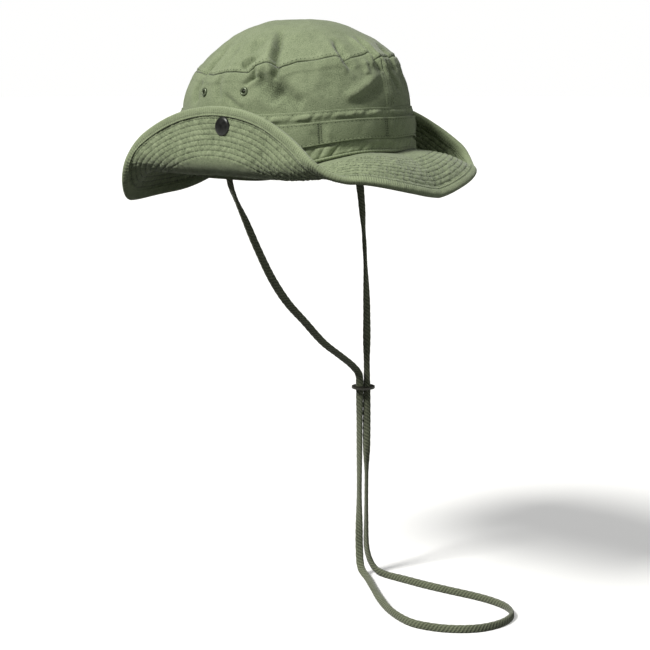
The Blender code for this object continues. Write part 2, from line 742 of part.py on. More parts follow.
def main():
    for thing in list(bpy.data.objects):
        bpy.data.objects.remove(thing, do_unlink=True)
    hat = bpy.data.collections.new("boonie_hat")
    tools = bpy.data.collections.new("cutters")
    for collection in (hat, tools):
        bpy.context.scene.collection.children.link(collection)
    hinges = {}
    pivot_x, pivot_z = flap_pivot()
    for side, name in SIDE_NAMES.items():
        hinge = bpy.data.objects.new(name + "_flap_hinge", None)
        hinge.location = (side * pivot_x, 0.0, pivot_z)
        hat.objects.link(hinge)
        hinges[side] = hinge
    vents = cutter("vent_holes", [cylinder(VENT_HOLE, 0.006, centre, axis, 14)
                                  for _, centre, axis in vent_places()], tools)
    caps = []
    studs = []
    for side in SIDE_NAMES:
        middle, outward = snap_place(side)
        caps.append(cylinder(SNAP_HOLE, 0.008, middle, outward, 12))
        wall = crown_point(snap_angle(side), snap_height(side))
        studs.append(cylinder(SNAP_HOLE, 0.010, wall, (side, 0, 0), 12))
    cap_holes = cutter("snap_cap_holes", caps, tools)
    stud_holes = cutter("snap_stud_holes", studs, tools)
    make_crown(hat, vents, stud_holes)
    make_piping(hat)
    make_brim(hat, hinges, cap_holes)
    make_snaps(hat, hinges)
    make_vents(hat)
    cut(make_cord(hat), slider_cutter(tools))


main()
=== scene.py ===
"""Looks of the boonie hat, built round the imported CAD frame.

Units are metres in the frame of the part: +Z up, -Y the front of the hat, +X the
wearer's left. Angles round the hat start at the front and grow towards the wearer's right.
"""
import math

import bpy  # noqa: E402
import numpy as np  # noqa: E402
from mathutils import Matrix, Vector  # noqa: E402


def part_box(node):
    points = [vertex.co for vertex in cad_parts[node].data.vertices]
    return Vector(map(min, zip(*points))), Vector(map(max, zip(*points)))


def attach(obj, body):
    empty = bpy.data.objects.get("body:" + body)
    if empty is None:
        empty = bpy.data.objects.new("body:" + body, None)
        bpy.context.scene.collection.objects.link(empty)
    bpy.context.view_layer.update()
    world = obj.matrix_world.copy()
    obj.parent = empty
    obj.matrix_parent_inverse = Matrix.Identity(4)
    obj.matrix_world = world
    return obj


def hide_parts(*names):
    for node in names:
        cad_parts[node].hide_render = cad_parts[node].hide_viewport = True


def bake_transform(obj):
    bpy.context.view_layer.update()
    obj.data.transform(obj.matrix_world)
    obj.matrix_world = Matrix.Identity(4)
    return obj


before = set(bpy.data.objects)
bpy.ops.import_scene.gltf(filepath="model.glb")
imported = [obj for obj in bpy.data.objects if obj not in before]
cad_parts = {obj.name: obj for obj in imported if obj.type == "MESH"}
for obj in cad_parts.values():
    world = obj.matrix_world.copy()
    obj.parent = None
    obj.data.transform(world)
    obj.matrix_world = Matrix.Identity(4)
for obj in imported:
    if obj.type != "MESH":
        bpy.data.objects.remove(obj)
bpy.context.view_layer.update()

# ---- The hat's sewing pattern, as in the CAD source ----
SEAM_HALF_WIDTH, SEAM_HALF_LENGTH = 0.090, 0.102
WALL_HEIGHT, WALL_TAPER, WALL_SHOULDER = 0.070, 0.020, 0.125
TOP_TILT, DOME_HEIGHT, DOME_POWER, DOME_REACH = 0.006, 0.036, 2.6, 0.090
SIDE_WIDTH, FRONT_WIDTH, BACK_WIDTH = 0.059, 0.058, 0.0450
SLOPE_START, CURL_START, CURL_RADIUS = 0.020, 0.081, 0.014
SIDE_SLOPE, FLAP_LEAN = math.radians(28), math.radians(98)
FRONT_DROOP = (0.100, 0.150, -math.radians(54))
BACK_DROOP = (0.088, 0.140, -math.radians(78))
CORNER_TRIM, CORNER_ANGLE, CORNER_SPREAD = 0.0070, math.radians(42), math.radians(19)
TWIST, TWIST_REACH = 0.19, (0.080, 0.140)
FRONT_RAISE, RAISE_REACH = 0.080, (0.065, 0.135)
CURL_TURN = SIDE_SLOPE + FLAP_LEAN
ACROSS = [(SLOPE_START, CURL_START, -SIDE_SLOPE),
          (CURL_START, CURL_START + CURL_RADIUS * CURL_TURN, CURL_TURN)]
CLOTH, HALF_BRIM = 0.0007, 0.0014
FLOOR_Z = -0.3950
CROWN_BAND, LOOP_BAND, SWEATBAND = (0.0022, 0.0358), (0.0130, 0.0285), (-0.0025, 0.0200)
BARTACK_FIRST, BARTACK_STEP = math.radians(5.3), math.radians(36)
BINDING_DEPTH, BINDING_SEAM, RIB_PITCH = 0.0060, 0.0046, 0.0022
STITCH_PITCH = 0.0042
STITCH_ROWS = [0.0080 + STITCH_PITCH * i for i in range(8)]
VENT_ANGLES, VENT_HEIGHT = (math.radians(-10.5), math.radians(16.5)), 0.0505
VENT_HOLE = 0.0025
BINDING_ROWS = [BINDING_DEPTH, 0.0052, BINDING_SEAM, 0.0038, 0.0028, 0.0018, 0.0008, 0.0]
SIDES = {"right": -1.0, "left": 1.0}

# ---- The photo's view, and the mean radii that turn angles into lengths of cloth ----
VIEW_RIGHT, VIEW_BEHIND = (0.643, -0.766, 0.0), (-0.766, -0.643, 0.0)
CAMERA_BACK, CAMERA_ASIDE, CAMERA_HEIGHT, AIM_HEIGHT, LENS = 1.300, 0.0245, 0.084, -0.150, 85.46
CROWN_RADIUS, BAND_RADIUS, LINING_RADIUS, BRIM_RADIUS, EDGE_RADIUS = 0.095, 0.094, 0.09, 0.135, 0.150
TURN = 2 * math.pi


def unit(vectors):
    """The same vectors at length 1."""
    return vectors / np.linalg.norm(vectors, axis=-1, keepdims=True)


def full_turn(count):
    """Even angles round a full turn, without the last one, which meets the first."""
    return np.linspace(0, TURN, count, endpoint=False)


def either_side(value, step):
    """A value between one a step below it and one a step above, as rows of a narrow grid."""
    return np.array([[value - step], [value], [value + step]])


def smooth_step(value, low, high):
    """0 below low, 1 above high and an easy curve between."""
    t = np.clip((value - low) / (high - low), 0.0, 1.0)
    return t * t * (3 - 2 * t)


def follow(spans, distance):
    """Along, up and heading after a distance on a line that turns evenly over each span."""
    along = up = heading = np.zeros_like(distance)
    done = 0.0
    for start, end, turn in spans:
        straight = np.clip(np.minimum(distance, start) - done, 0.0, None)
        bent = np.clip(np.minimum(distance, end) - start, 0.0, None)
        radius = (end - start) / turn
        after = heading + bent / radius
        along = along + straight * np.cos(heading) + radius * (np.sin(after) - np.sin(heading))
        up = up + straight * np.sin(heading) - radius * (np.cos(after) - np.cos(heading))
        heading = after
        done = end
    rest = np.clip(distance - done, 0.0, None)
    return along + rest * np.cos(heading), up + rest * np.sin(heading), heading


def brim_point(flat_x, flat_y, lift=0.0):
    """Place points of the flat brim sheet on the bent brim, lifted along its normal."""
    flat_x, flat_y, lift = np.broadcast_arrays(flat_x, flat_y, lift)
    side_x, side_y = np.where(flat_x < 0, -1.0, 1.0), np.where(flat_y < 0, -1.0, 1.0)
    x, rise, curl = follow(ACROSS, np.abs(flat_x))
    ahead, behind = follow([FRONT_DROOP], np.abs(flat_y)), follow([BACK_DROOP], np.abs(flat_y))
    y, fall, droop = (np.where(flat_y < 0, a, b) for a, b in zip(ahead, behind))
    twist = (TWIST * side_x * x * smooth_step(flat_y, *TWIST_REACH)
             + FRONT_RAISE * x * smooth_step(-flat_y, *RAISE_REACH))
    normal = np.stack([-side_x * np.sin(curl) * np.cos(droop), -side_y * np.cos(curl) * np.sin(droop),
                       np.cos(curl) * np.cos(droop)], -1)
    return np.stack([side_x * x, side_y * y, rise + fall + twist], -1) + unit(normal) * lift[..., None]


def brim_width(angle):
    """Width of the brim sheet at an angle round the hat, 0 at the front."""
    front, back = np.clip(np.cos(angle), 0, None) ** 2, np.clip(-np.cos(angle), 0, None) ** 2
    away = (np.abs((angle + math.pi) % (TURN) - math.pi) - CORNER_ANGLE) / CORNER_SPREAD
    return (SIDE_WIDTH + (FRONT_WIDTH - SIDE_WIDTH) * front + (BACK_WIDTH - SIDE_WIDTH) * back
            - CORNER_TRIM * np.exp(-away * away))


def seam_normal(angle):
    """Outward level direction at an angle round the seam oval."""
    return unit(np.stack([-np.sin(angle) / SEAM_HALF_WIDTH, -np.cos(angle) / SEAM_HALF_LENGTH], -1))


def flat_point(angle, out):
    """Flat sheet point at an angle, a distance outward from the seam oval."""
    normal = seam_normal(angle)
    return (-SEAM_HALF_WIDTH * np.sin(angle) + normal[..., 0] * out,
            -SEAM_HALF_LENGTH * np.cos(angle) + normal[..., 1] * out)


def crown_point(angle, height, out=0.0):
    """Points of the crown wall: height above the seam, offset level and outward."""
    angle, height, out = np.broadcast_arrays(angle, height, out)
    t = height / WALL_HEIGHT
    shrink = 1.0 - WALL_TAPER * t - WALL_SHOULDER * np.clip(t, 0, None) ** 4
    foot = brim_point(*flat_point(angle, np.zeros_like(angle)))
    rise = height + foot[..., 2] * (1 - t) ** 2 + TOP_TILT * np.cos(angle) * t * t
    level = seam_normal(angle)
    return np.stack([foot[..., 0] * shrink + level[..., 0] * out,
                     foot[..., 1] * shrink + level[..., 1] * out, rise], -1)


def cap_point(angle, reach):
    """Points of the whole crown: reach is the height up the wall, then on over the dome."""
    angle, reach = np.broadcast_arrays(angle, reach)
    wall = crown_point(angle, np.minimum(reach, WALL_HEIGHT))
    share = np.clip(1.0 - (reach - WALL_HEIGHT) / DOME_REACH, 0.0, 1.0)
    lift = DOME_HEIGHT * (1 - share ** DOME_POWER) + TOP_TILT * np.cos(angle) * share * share
    dome = np.stack([wall[..., 0] * share, wall[..., 1] * share, WALL_HEIGHT + lift], -1)
    return np.where((reach > WALL_HEIGHT)[..., None], dome, wall)


# ---- Mesh and noise helpers ----
def lattice_noise(points, size, seed):
    """Smooth noise from -1 to 1 in space, with cells of a given size."""
    table = np.random.default_rng(seed).uniform(-1.0, 1.0, (32, 32, 32))
    scaled = np.asarray(points, float) / size
    cell = np.floor(scaled).astype(int)
    t = scaled - cell
    t = t * t * (3 - 2 * t)
    total = np.zeros(scaled.shape[:-1])
    for dx in (0, 1):
        for dy in (0, 1):
            for dz in (0, 1):
                weight = (np.where(dx, t[..., 0], 1 - t[..., 0]) * np.where(dy, t[..., 1], 1 - t[..., 1])
                          * np.where(dz, t[..., 2], 1 - t[..., 2]))
                total += weight * table[(cell[..., 0] + dx) % 32, (cell[..., 1] + dy) % 32,
                                        (cell[..., 2] + dz) % 32]
    return total


def flat_noise(u, v, size_u, size_v, seed):
    """Smooth noise on a flat pattern, with its own size each way."""
    u, v = np.broadcast_arrays(u, v)
    return lattice_noise(np.stack([u / size_u, v / size_v, np.zeros_like(u)], -1), 1.0, seed)


def grid_faces(rows, columns, round_rows=False, round_columns=False):
    """Quads of a grid of points stored row by row."""
    i = np.arange(rows if round_rows else rows - 1)
    j = np.arange(columns if round_columns else columns - 1)
    i, j = (a.ravel() for a in np.meshgrid(i, j, indexing="ij"))
    below, after = (i + 1) % rows, (j + 1) % columns
    return np.stack([i * columns + j, i * columns + after, below * columns + after,
                     below * columns + j], -1)


def grid_normals(points, round_columns=False):
    """Unit normals of a grid of points."""
    if round_columns:
        along = np.roll(points, -1, 1) - np.roll(points, 1, 1)
    else:
        along = np.gradient(points, axis=1)
    normal = np.cross(np.gradient(points, axis=0), along)
    return normal / np.maximum(np.linalg.norm(normal, axis=-1, keepdims=True), 1e-12)


def pattern_at(across, along):
    """Flat pattern coordinates of a grid of points."""
    return np.stack(np.broadcast_arrays(across, along), -1)


def build(name, points, faces, look, uv=None, tone=None):
    """A smooth mesh object from points and faces, with a flat pattern and a tone per point that carries
    painted shade and highlight.
    """
    points = np.asarray(points, np.float32).reshape(-1, 3)
    groups = faces if isinstance(faces, list) else [faces]
    corners = np.concatenate([g.ravel() for g in groups]).astype(np.int32)
    sizes = np.concatenate([np.full(len(g), g.shape[1]) for g in groups])
    mesh = bpy.data.meshes.new(name)
    mesh.vertices.add(len(points))
    mesh.vertices.foreach_set("co", points.ravel())
    mesh.loops.add(len(corners))
    mesh.loops.foreach_set("vertex_index", corners)
    mesh.polygons.add(len(sizes))
    mesh.polygons.foreach_set("loop_start", (np.cumsum(sizes) - sizes).astype(np.int32))
    mesh.update(calc_edges=True)
    mesh.validate()
    mesh.shade_smooth()
    if uv is not None:
        layer = mesh.uv_layers.new(name="pattern")
        layer.data.foreach_set("uv", np.asarray(uv, np.float32).reshape(-1, 2)[corners].ravel())
    if tone is None:
        tone = np.full(len(points), 0.5)
    layer = mesh.attributes.new("tone", "FLOAT", "POINT")
    layer.data.foreach_set("value", np.asarray(tone, np.float32).ravel())
    mesh.materials.append(look)
    piece = bpy.data.objects.new(name, mesh)
    bpy.context.scene.collection.objects.link(piece)
    return piece


def thicken(piece, thickness, offset=0.0):
    """Even thickness about a cloth piece's surface, as a solidify modifier."""
    modifier = piece.modifiers.new("thickness", "SOLIDIFY")
    modifier.thickness = thickness
    modifier.offset = offset
    modifier.use_even_offset = False
    return piece


def at_length(path, distances):
    """Points of a dense path at distances along it, with whatever follows their first three numbers."""
    steps = np.linalg.norm(np.diff(path[:, :3], axis=0), axis=1)
    length = np.concatenate([[0.0], np.cumsum(steps)])
    return np.stack([np.interp(distances, length, path[:, k]) for k in range(path.shape[1])], -1)


def path_length(path):
    """Length of a path of points, whatever follows their first three numbers."""
    return float(np.linalg.norm(np.diff(path[:, :3], axis=0), axis=1).sum())


def stitches(rows, stitch=0.0022, gap=0.0012, width=0.00075, height=0.00032, sink=0.00022):
    """Points and faces of thread stitches along rows of (path, normals)."""
    points, faces = [], []
    for path, normals in rows:
        total = path_length(path)
        count = max(1, int(total / (stitch + gap)))
        pitch = total / count
        start = np.arange(count) * pitch + gap / 2
        whole = np.concatenate([path, normals], 1)
        places = (at_length(whole, start + share * (pitch - gap)) for share in (0.0, 0.5, 1.0))
        (head, head_up), (middle, up), (tail, tail_up) = (np.split(place, 2, 1) for place in places)
        aside = np.cross(tail - head, up)
        aside /= np.maximum(np.linalg.norm(aside, axis=1, keepdims=True), 1e-12)
        base = 6 * np.arange(count)[:, None] + sum(len(p) for p in points)
        points.append(np.stack([head - head_up * sink, middle + aside * width / 2,
                                middle + up * height, middle - aside * width / 2,
                                middle - up * height, tail - tail_up * sink], 1).reshape(-1, 3))
        for a, b in ((1, 2), (2, 3), (3, 4), (4, 1)):
            faces.append(base + np.array([[0, b, a]]))
            faces.append(base + np.array([[5, a, b]]))
    return np.concatenate(points), np.concatenate(faces)


# ---- Materials ----
def set_inputs(node, values):
    """Set a node's inputs by their names."""
    for name, value in values.items():
        node.inputs[name].default_value = value


def node_setup(name, on_pattern=True):
    """A new material, its node tree and shader, and the place that its textures follow."""
    look = bpy.data.materials.new(name)
    look.use_nodes = True
    tree = look.node_tree
    if on_pattern:
        pattern = tree.nodes.new("ShaderNodeUVMap")
        pattern.uv_map = "pattern"
        place = pattern.outputs["UV"]
    else:
        place = tree.nodes.new("ShaderNodeTexCoord").outputs["Object"]
    return look, tree, tree.nodes["Principled BSDF"], place


def noise(tree, place, scale, detail=3.0, roughness=0.55):
    node = tree.nodes.new("ShaderNodeTexNoise")
    set_inputs(node, {"Scale": scale, "Detail": detail, "Roughness": roughness})
    tree.links.new(place, node.inputs["Vector"])
    return node.outputs["Fac"]


def wave(tree, place, period, direction, distortion=0.6):
    node = tree.nodes.new("ShaderNodeTexWave")
    node.wave_type = "BANDS"
    node.bands_direction = direction
    set_inputs(node, {"Scale": TURN / (20 * period), "Distortion": distortion, "Detail": 1.0})
    tree.links.new(place, node.inputs["Vector"])
    return node.outputs["Fac"]


def calc(tree, operation, a, b, clamp=False):
    node = tree.nodes.new("ShaderNodeMath")
    node.operation = operation
    node.use_clamp = clamp
    for socket, value in zip(node.inputs, (a, b)):
        if isinstance(value, (int, float)):
            socket.default_value = value
        else:
            tree.links.new(value, socket)
    return node.outputs[0]


def weighted(tree, terms):
    """The sum of terms, each of them a signal less its middle value, times a weight."""
    total = 0.0
    for signal, middle, weight in terms:
        term = calc(tree, "MULTIPLY", calc(tree, "SUBTRACT", signal, middle), weight)
        total = calc(tree, "ADD", total, term)
    return total


def ramp(tree, value, stops):
    node = tree.nodes.new("ShaderNodeValToRGB")
    elements = node.color_ramp.elements
    while len(elements) < len(stops):
        elements.new(0.5)
    for element, (place, colour) in zip(elements, stops):
        element.position = place
        element.color = (*colour, 1.0)
    tree.links.new(value, node.inputs["Fac"])
    return node.outputs["Color"]


def bump(tree, shader, height, strength, distance, before=None):
    node = tree.nodes.new("ShaderNodeBump")
    set_inputs(node, {"Strength": strength, "Distance": distance})
    tree.links.new(height, node.inputs["Height"])
    if before is not None:
        tree.links.new(before, node.inputs["Normal"])
    tree.links.new(node.outputs["Normal"], shader.inputs["Normal"])
    return node.outputs["Normal"]


def cotton(name, pale, dark, period=0.00062, twill=False, sheen=0.30, mottle=1.0):
    """Washed woven cotton: colour drift, slubs, weave, fuzz, and painted shade and painted highlight by tone.
    """
    look, tree, shader, place = node_setup(name)
    drift = noise(tree, place, 26.0, 4.0)
    cloud = noise(tree, place, 210.0, 3.0, 0.6)
    slub = noise(tree, place, 1150.0, 2.0, 0.7)
    warp, weft = wave(tree, place, period, "DIAGONAL" if twill else "X"), wave(tree, place, period, "Y")
    weave = warp if twill else calc(tree, "MULTIPLY", warp, weft)
    tone = tree.nodes.new("ShaderNodeAttribute")
    tone.attribute_name = "tone"
    value = weighted(tree, [(drift, 0.5, 0.50 * mottle), (cloud, 0.5, 0.35 * mottle),
                            (slub, 0.5, 1.5), (weave, 0.4, 0.20)])
    # The tone attribute darkens the colour with painted shade and lightens it with painted highlight; the
    # palest colour comes from pale slubs and from painted highlight.
    value = calc(tree, "ADD", value, tone.outputs["Fac"], True)
    darkest = tuple(0.40 * c for c in dark)
    palest_and_highlit = tuple(min(1.0, 1.28 * c) for c in pale)
    tree.links.new(ramp(tree, value, [(0.0, darkest), (0.30, dark), (0.62, pale), (1.0, palest_and_highlit)]),
                   shader.inputs["Base Color"])
    set_inputs(shader, {"Roughness": 0.88, "Sheen Weight": sheen, "Sheen Roughness": 0.45,
                        "Specular IOR Level": 0.18})
    first = bump(tree, shader, weave, 0.35, 0.00012)
    second = bump(tree, shader, slub, 0.50, 0.0003, first)
    bump(tree, shader, cloud, 0.30, 0.0008, second)
    return look


def braid(name, pale, dark):
    """Flat braided cord: slanting plaits along its length."""
    look, tree, shader, place = node_setup(name)
    one = wave(tree, place, 0.0016, "DIAGONAL", 0.4)
    across = wave(tree, place, 0.0011, "X", 0.3)
    fuzz = noise(tree, place, 900.0, 3.0, 0.7)
    drift = noise(tree, place, 40.0, 3.0)
    value = weighted(tree, [(one, 0.0, 0.45), (across, 0.0, 0.20), (fuzz, 0.5, 0.6), (drift, 0.4, 0.5)])
    darkest = tuple(0.45 * c for c in dark)
    colour = ramp(tree, value, [(0.0, darkest), (0.35, dark), (1.0, pale)])
    tree.links.new(colour, shader.inputs["Base Color"])
    set_inputs(shader, {"Roughness": 0.85, "Sheen Weight": 0.35, "Specular IOR Level": 0.2})
    first = bump(tree, shader, one, 0.7, 0.0005)
    bump(tree, shader, fuzz, 0.3, 0.0002, first)
    return look


def solid(name, colour, other, roughness, metallic=0.0, scale=300.0, relief=0.12, coat=0.0):
    """Lacquered metal or leather: two close colours, uneven gloss and a fine relief."""
    look, tree, shader, place = node_setup(name, on_pattern=False)
    patch = noise(tree, place, scale, 4.0)
    tree.links.new(ramp(tree, patch, [(0.3, colour), (0.7, other)]), shader.inputs["Base Color"])
    rough = calc(tree, "ADD", calc(tree, "MULTIPLY", patch, 0.25), roughness - 0.12)
    tree.links.new(rough, shader.inputs["Roughness"])
    set_inputs(shader, {"Metallic": metallic, "Coat Weight": coat, "Coat Roughness": 0.2})
    bump(tree, shader, noise(tree, place, scale * 6, 3.0), relief, 0.0003)
    return look


SAGE, OLIVE = (0.298, 0.350, 0.208), (0.210, 0.255, 0.145)
canvas = cotton("cotton_canvas", SAGE, OLIVE)
brim_canvas = cotton("brim_canvas", SAGE, OLIVE, mottle=1.35)
tape = cotton("binding_tape", SAGE, OLIVE, period=0.0008, twill=True)
lining = cotton("cotton_lining", (0.215, 0.250, 0.150), (0.150, 0.178, 0.102), period=0.0009, twill=True)
thread = cotton("sewing_thread", (0.075, 0.088, 0.050), (0.045, 0.053, 0.030), period=0.0004, sheen=0.2)
cord_look = braid("cord_braid", (0.270, 0.300, 0.190), (0.135, 0.152, 0.094))
green_metal = solid("green_metal", (0.100, 0.125, 0.070), (0.140, 0.170, 0.098), 0.42, 0.55, coat=0.3)
dark_metal = solid("dark_metal", (0.022, 0.023, 0.021), (0.040, 0.042, 0.038), 0.34, 0.75, relief=0.05)
leather = solid("slider_leather", (0.030, 0.030, 0.022), (0.055, 0.052, 0.040), 0.58, scale=420.0, relief=0.5)


def sew(name, rows, **sizes):
    """A piece made of the thread stitches along rows of (path, normals)."""
    points, faces = stitches(rows, **sizes)
    return build(name, points, faces, thread, points[:, :2])


# ---- Camera, floor and light ----
def add_sun(name, come_from, strength, spread, colour=(1.0, 1.0, 1.0)):
    """Soft even light from one direction, as from a large studio panel far away."""
    data = bpy.data.lights.new(name, "SUN")
    data.energy = strength
    data.angle = math.radians(spread)
    data.color = colour
    lamp = bpy.data.objects.new(name, data)
    bpy.context.scene.collection.objects.link(lamp)
    lamp.location = Vector(come_from).normalized() * 2.0
    lamp.rotation_euler = (-Vector(come_from)).to_track_quat("-Z", "Y").to_euler()


def add_camera():
    """The photo's view: from ahead and to the side, a little above the brim and looking down."""
    right, behind = Vector(VIEW_RIGHT), Vector(VIEW_BEHIND)
    data = bpy.data.cameras.new("camera")
    data.sensor_width = 36.0
    data.lens = LENS
    camera = bpy.data.objects.new("camera", data)
    bpy.context.scene.collection.objects.link(camera)
    camera.location = behind * CAMERA_BACK + right * CAMERA_ASIDE + Vector((0, 0, CAMERA_HEIGHT))
    aim = right * CAMERA_ASIDE + Vector((0, 0, AIM_HEIGHT))
    camera.rotation_euler = (aim - camera.location).to_track_quat("-Z", "Y").to_euler()
    bpy.context.scene.camera = camera


def add_floor():
    """A round, nearly white floor, which sends no light of its own onto the hat."""
    sides, radii = 96, (0.4, 1.0, 2.5, 6.0, 14.0)
    angles = full_turn(sides)
    ring = np.stack([np.cos(angles), np.sin(angles), np.zeros(sides)], -1)
    points = np.concatenate([ring * radius for radius in radii] + [np.zeros((1, 3))])
    points[:, 2] = FLOOR_Z
    count = np.arange(sides)
    middle = np.stack([(count + 1) % sides, count, np.full(sides, len(radii) * sides)], -1)
    look, tree, shader, place = node_setup("studio_floor", on_pattern=False)
    paint = ramp(tree, noise(tree, place, 3.0), [(0.3, (0.78, 0.78, 0.77)), (0.7, (0.82, 0.82, 0.81))])
    tree.links.new(paint, shader.inputs["Base Color"])
    set_inputs(shader, {"Roughness": 0.9, "Emission Color": (1.0, 1.0, 0.99, 1.0), "Emission Strength": 0.35})
    floor = build("studio_floor", points, [grid_faces(len(radii), sides, round_columns=True), middle], look)
    floor.visible_diffuse = False


def add_light():
    """A white surround that is dim as a lamp, and three soft suns."""
    world = bpy.data.worlds.new("studio")
    bpy.context.scene.world = world
    world.use_nodes = True
    tree = world.node_tree
    back = tree.nodes["Background"]
    back.inputs["Color"].default_value = (1.0, 1.0, 0.995, 1.0)
    height = tree.nodes.new("ShaderNodeSeparateXYZ")
    tree.links.new(tree.nodes.new("ShaderNodeTexCoord").outputs["Generated"], height.inputs[0])
    slope = calc(tree, "ADD", calc(tree, "MULTIPLY", height.outputs["Z"], 0.5), 0.5, True)
    dome = calc(tree, "ADD", calc(tree, "MULTIPLY", slope, 0.10), 0.030)
    seen = tree.nodes.new("ShaderNodeLightPath").outputs["Is Camera Ray"]
    tree.links.new(calc(tree, "MAXIMUM", dome, seen), back.inputs["Strength"])
    right, behind, up = np.array(VIEW_RIGHT), np.array(VIEW_BEHIND), np.array([0.0, 0.0, 1.0])
    add_sun("key", behind * 0.56 - right * 0.80 + up * 1.10, 3.6, 14, (1.0, 0.99, 0.96))
    add_sun("fill", behind * 0.80 + right * 0.80 + up * 0.30, 0.46, 50, (0.97, 0.99, 1.0))
    add_sun("top", up - right * 0.35, 0.22, 50)


# ---- Chin cord ----
CORD_WIDTH, CORD_DEPTH = 0.0070, 0.0036
CORD_GIRTH, PLAIT_PITCH, CORD_SPACING = 0.0155, 0.0032, 0.0022
CORD_LIES = FLOOR_Z + 0.0031
CORD_ROUTE = [
    (-0.0812, 0.0000, -0.0150), (-0.0808, 0.0000, -0.0210), (-0.0782, -0.0001, -0.0290),
    (-0.0716, -0.0002, -0.0410), (-0.0628, -0.0004, -0.0555), (-0.0490, -0.0006, -0.0795),
    (-0.0320, -0.0008, -0.1060), (-0.0130, -0.0010, -0.1285), (0.0090, -0.0012, -0.1480),
    (0.0340, -0.0014, -0.1700), (0.0590, -0.0015, -0.1865), (0.0742, -0.0018, -0.1970),
    (0.0826, -0.0024, -0.2060), (0.0839, -0.0025, -0.2160), (0.0839, -0.0025, -0.2300),
    (0.0839, -0.0025, -0.2600), (0.0839, -0.0025, -0.3000), (0.0839, -0.0025, -0.3400),
    (0.0837, -0.0030, -0.3700), (0.0808, -0.0075, -0.3868),
    (0.0730, -0.0220, CORD_LIES), (0.0560, -0.0420, CORD_LIES), (0.0370, -0.0650, CORD_LIES),
    (0.0200, -0.0900, CORD_LIES), (0.0105, -0.1160, CORD_LIES), (0.0130, -0.1370, CORD_LIES),
    (0.0220, -0.1550, CORD_LIES), (0.0360, -0.1690, CORD_LIES), (0.0530, -0.1760, CORD_LIES),
    (0.0690, -0.1765, CORD_LIES), (0.0830, -0.1710, CORD_LIES), (0.0930, -0.1580, CORD_LIES),
    (0.0970, -0.1400, CORD_LIES), (0.0970, -0.1210, CORD_LIES), (0.0945, -0.0970, CORD_LIES),
    (0.0925, -0.0720, CORD_LIES), (0.0920, -0.0480, CORD_LIES), (0.0918, -0.0270, CORD_LIES),
    (0.0905, -0.0145, -0.3868), (0.0883, -0.0082, -0.3700), (0.0881, -0.0075, -0.3400),
    (0.0881, -0.0075, -0.3000), (0.0881, -0.0075, -0.2600), (0.0881, -0.0075, -0.2180),
    (0.0880, -0.0072, -0.1900), (0.0882, -0.0066, -0.1400), (0.0876, -0.0044, -0.0900),
    (0.0860, -0.0018, -0.0480), (0.0832, -0.0007, -0.0270), (0.0812, 0.0000, -0.0150),
]


def smooth_route(route, spacing):
    """Points at an even spacing along a smooth curve through the route."""
    points = np.array(route, float)
    ends = np.concatenate([[2 * points[0] - points[1]], points, [2 * points[-1] - points[-2]]])
    t = np.linspace(0, 1, 24, endpoint=False)[:, None]
    dense = [0.5 * (2 * b + (c - a) * t + (2 * a - 5 * b + 4 * c - d) * t * t
                    + (3 * b - a - 3 * c + d) * t ** 3)
             for a, b, c, d in zip(ends, ends[1:], ends[2:], ends[3:])]
    dense = np.concatenate(dense + [points[-1:]])
    total = path_length(dense)
    return at_length(dense, np.linspace(0, total, round(total / spacing) + 1))


def flat_strand(name, points, width, depth, facing, look, sides=16):
    """A flat braid along points; facing gives its width direction along its length."""
    count = len(points)
    tangent = unit(np.gradient(points, axis=0))
    carried = [np.cross(tangent[0], (0.0, 0.0, 1.0)) + np.array([0.0, 1e-3, 0.0])]
    for i in range(count):
        last = carried[-1] - tangent[i] * (carried[-1] @ tangent[i])
        carried.append(last / np.linalg.norm(last))
    base = np.array(carried[1:])
    other = np.cross(tangent, base)
    stations, turns = [], []
    for share, target in facing:
        i = min(count - 1, int(round(share * (count - 1))))
        turn = math.atan2(np.dot(target, other[i]), np.dot(target, base[i]))
        if turns:
            turn += math.pi * round((turns[-1] - turn) / math.pi)
        stations.append(share)
        turns.append(turn)
    share = np.linspace(0, 1, count)
    i = np.clip(np.searchsorted(stations, share, side="right") - 1, 0, len(stations) - 2)
    first, after = np.array(stations)[i], np.array(stations)[i + 1]
    t = smooth_step((share - first) / (after - first), 0.0, 1.0)
    turn = np.array(turns)[i] * (1 - t) + np.array(turns)[i + 1] * t
    wide = base * np.cos(turn)[:, None] + other * np.sin(turn)[:, None]
    thin = np.cross(tangent, wide)
    around = full_turn(sides)
    c, s = np.cos(around), np.sin(around)
    x = np.sign(c) * np.abs(c) ** 0.75 * width / 2
    y = np.sign(s) * np.abs(s) ** 0.85 * depth / 2
    along = share * path_length(points)
    plait = 1 + 0.035 * np.sin(TURN * along[:, None] / PLAIT_PITCH + 2 * around[None, :])
    rings = (points[:, None, :] + wide[:, None, :] * (x * plait)[:, :, None]
             + thin[:, None, :] * (y * plait)[:, :, None])
    uv = pattern_at(around[None, :] / TURN * CORD_GIRTH, along[:, None])
    caps = [np.arange(sides)[None, :], (np.arange(sides)[::-1] + (count - 1) * sides)[None, :]]
    return build(name, rings, [grid_faces(count, sides, round_columns=True)] + caps, look, uv)


def make_cord():
    """The chin cord from the right tab, through the slider, over the floor and back up."""
    points = smooth_route(CORD_ROUTE, CORD_SPACING)
    level, across = np.array(VIEW_RIGHT), np.array([0.2, 1.0, 0.0])
    tipped = np.array([0.25, 0.2, 0.95])
    facing = [(0.0, across), (0.05, level * 0.7 + across * 0.5), (0.14, level),
              (0.21, level - across * 0.3), (0.255, across), (0.30, level * 0.3 + across),
              (0.35, level), (0.40, across * 0.8 + level * 0.4), (0.45, tipped), (0.55, tipped),
              (0.65, tipped * [1, -1, 1]), (0.76, tipped), (0.80, level), (0.85, across),
              (0.89, level * 0.8 + across * 0.4), (0.94, level * 0.5 + across),
              (0.97, across * 0.6 + level), (1.0, across)]
    cord = flat_strand("chin_cord_braid", points, CORD_WIDTH, CORD_DEPTH, facing, cord_look)
    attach(cord, "root")
    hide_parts("chin_cord")


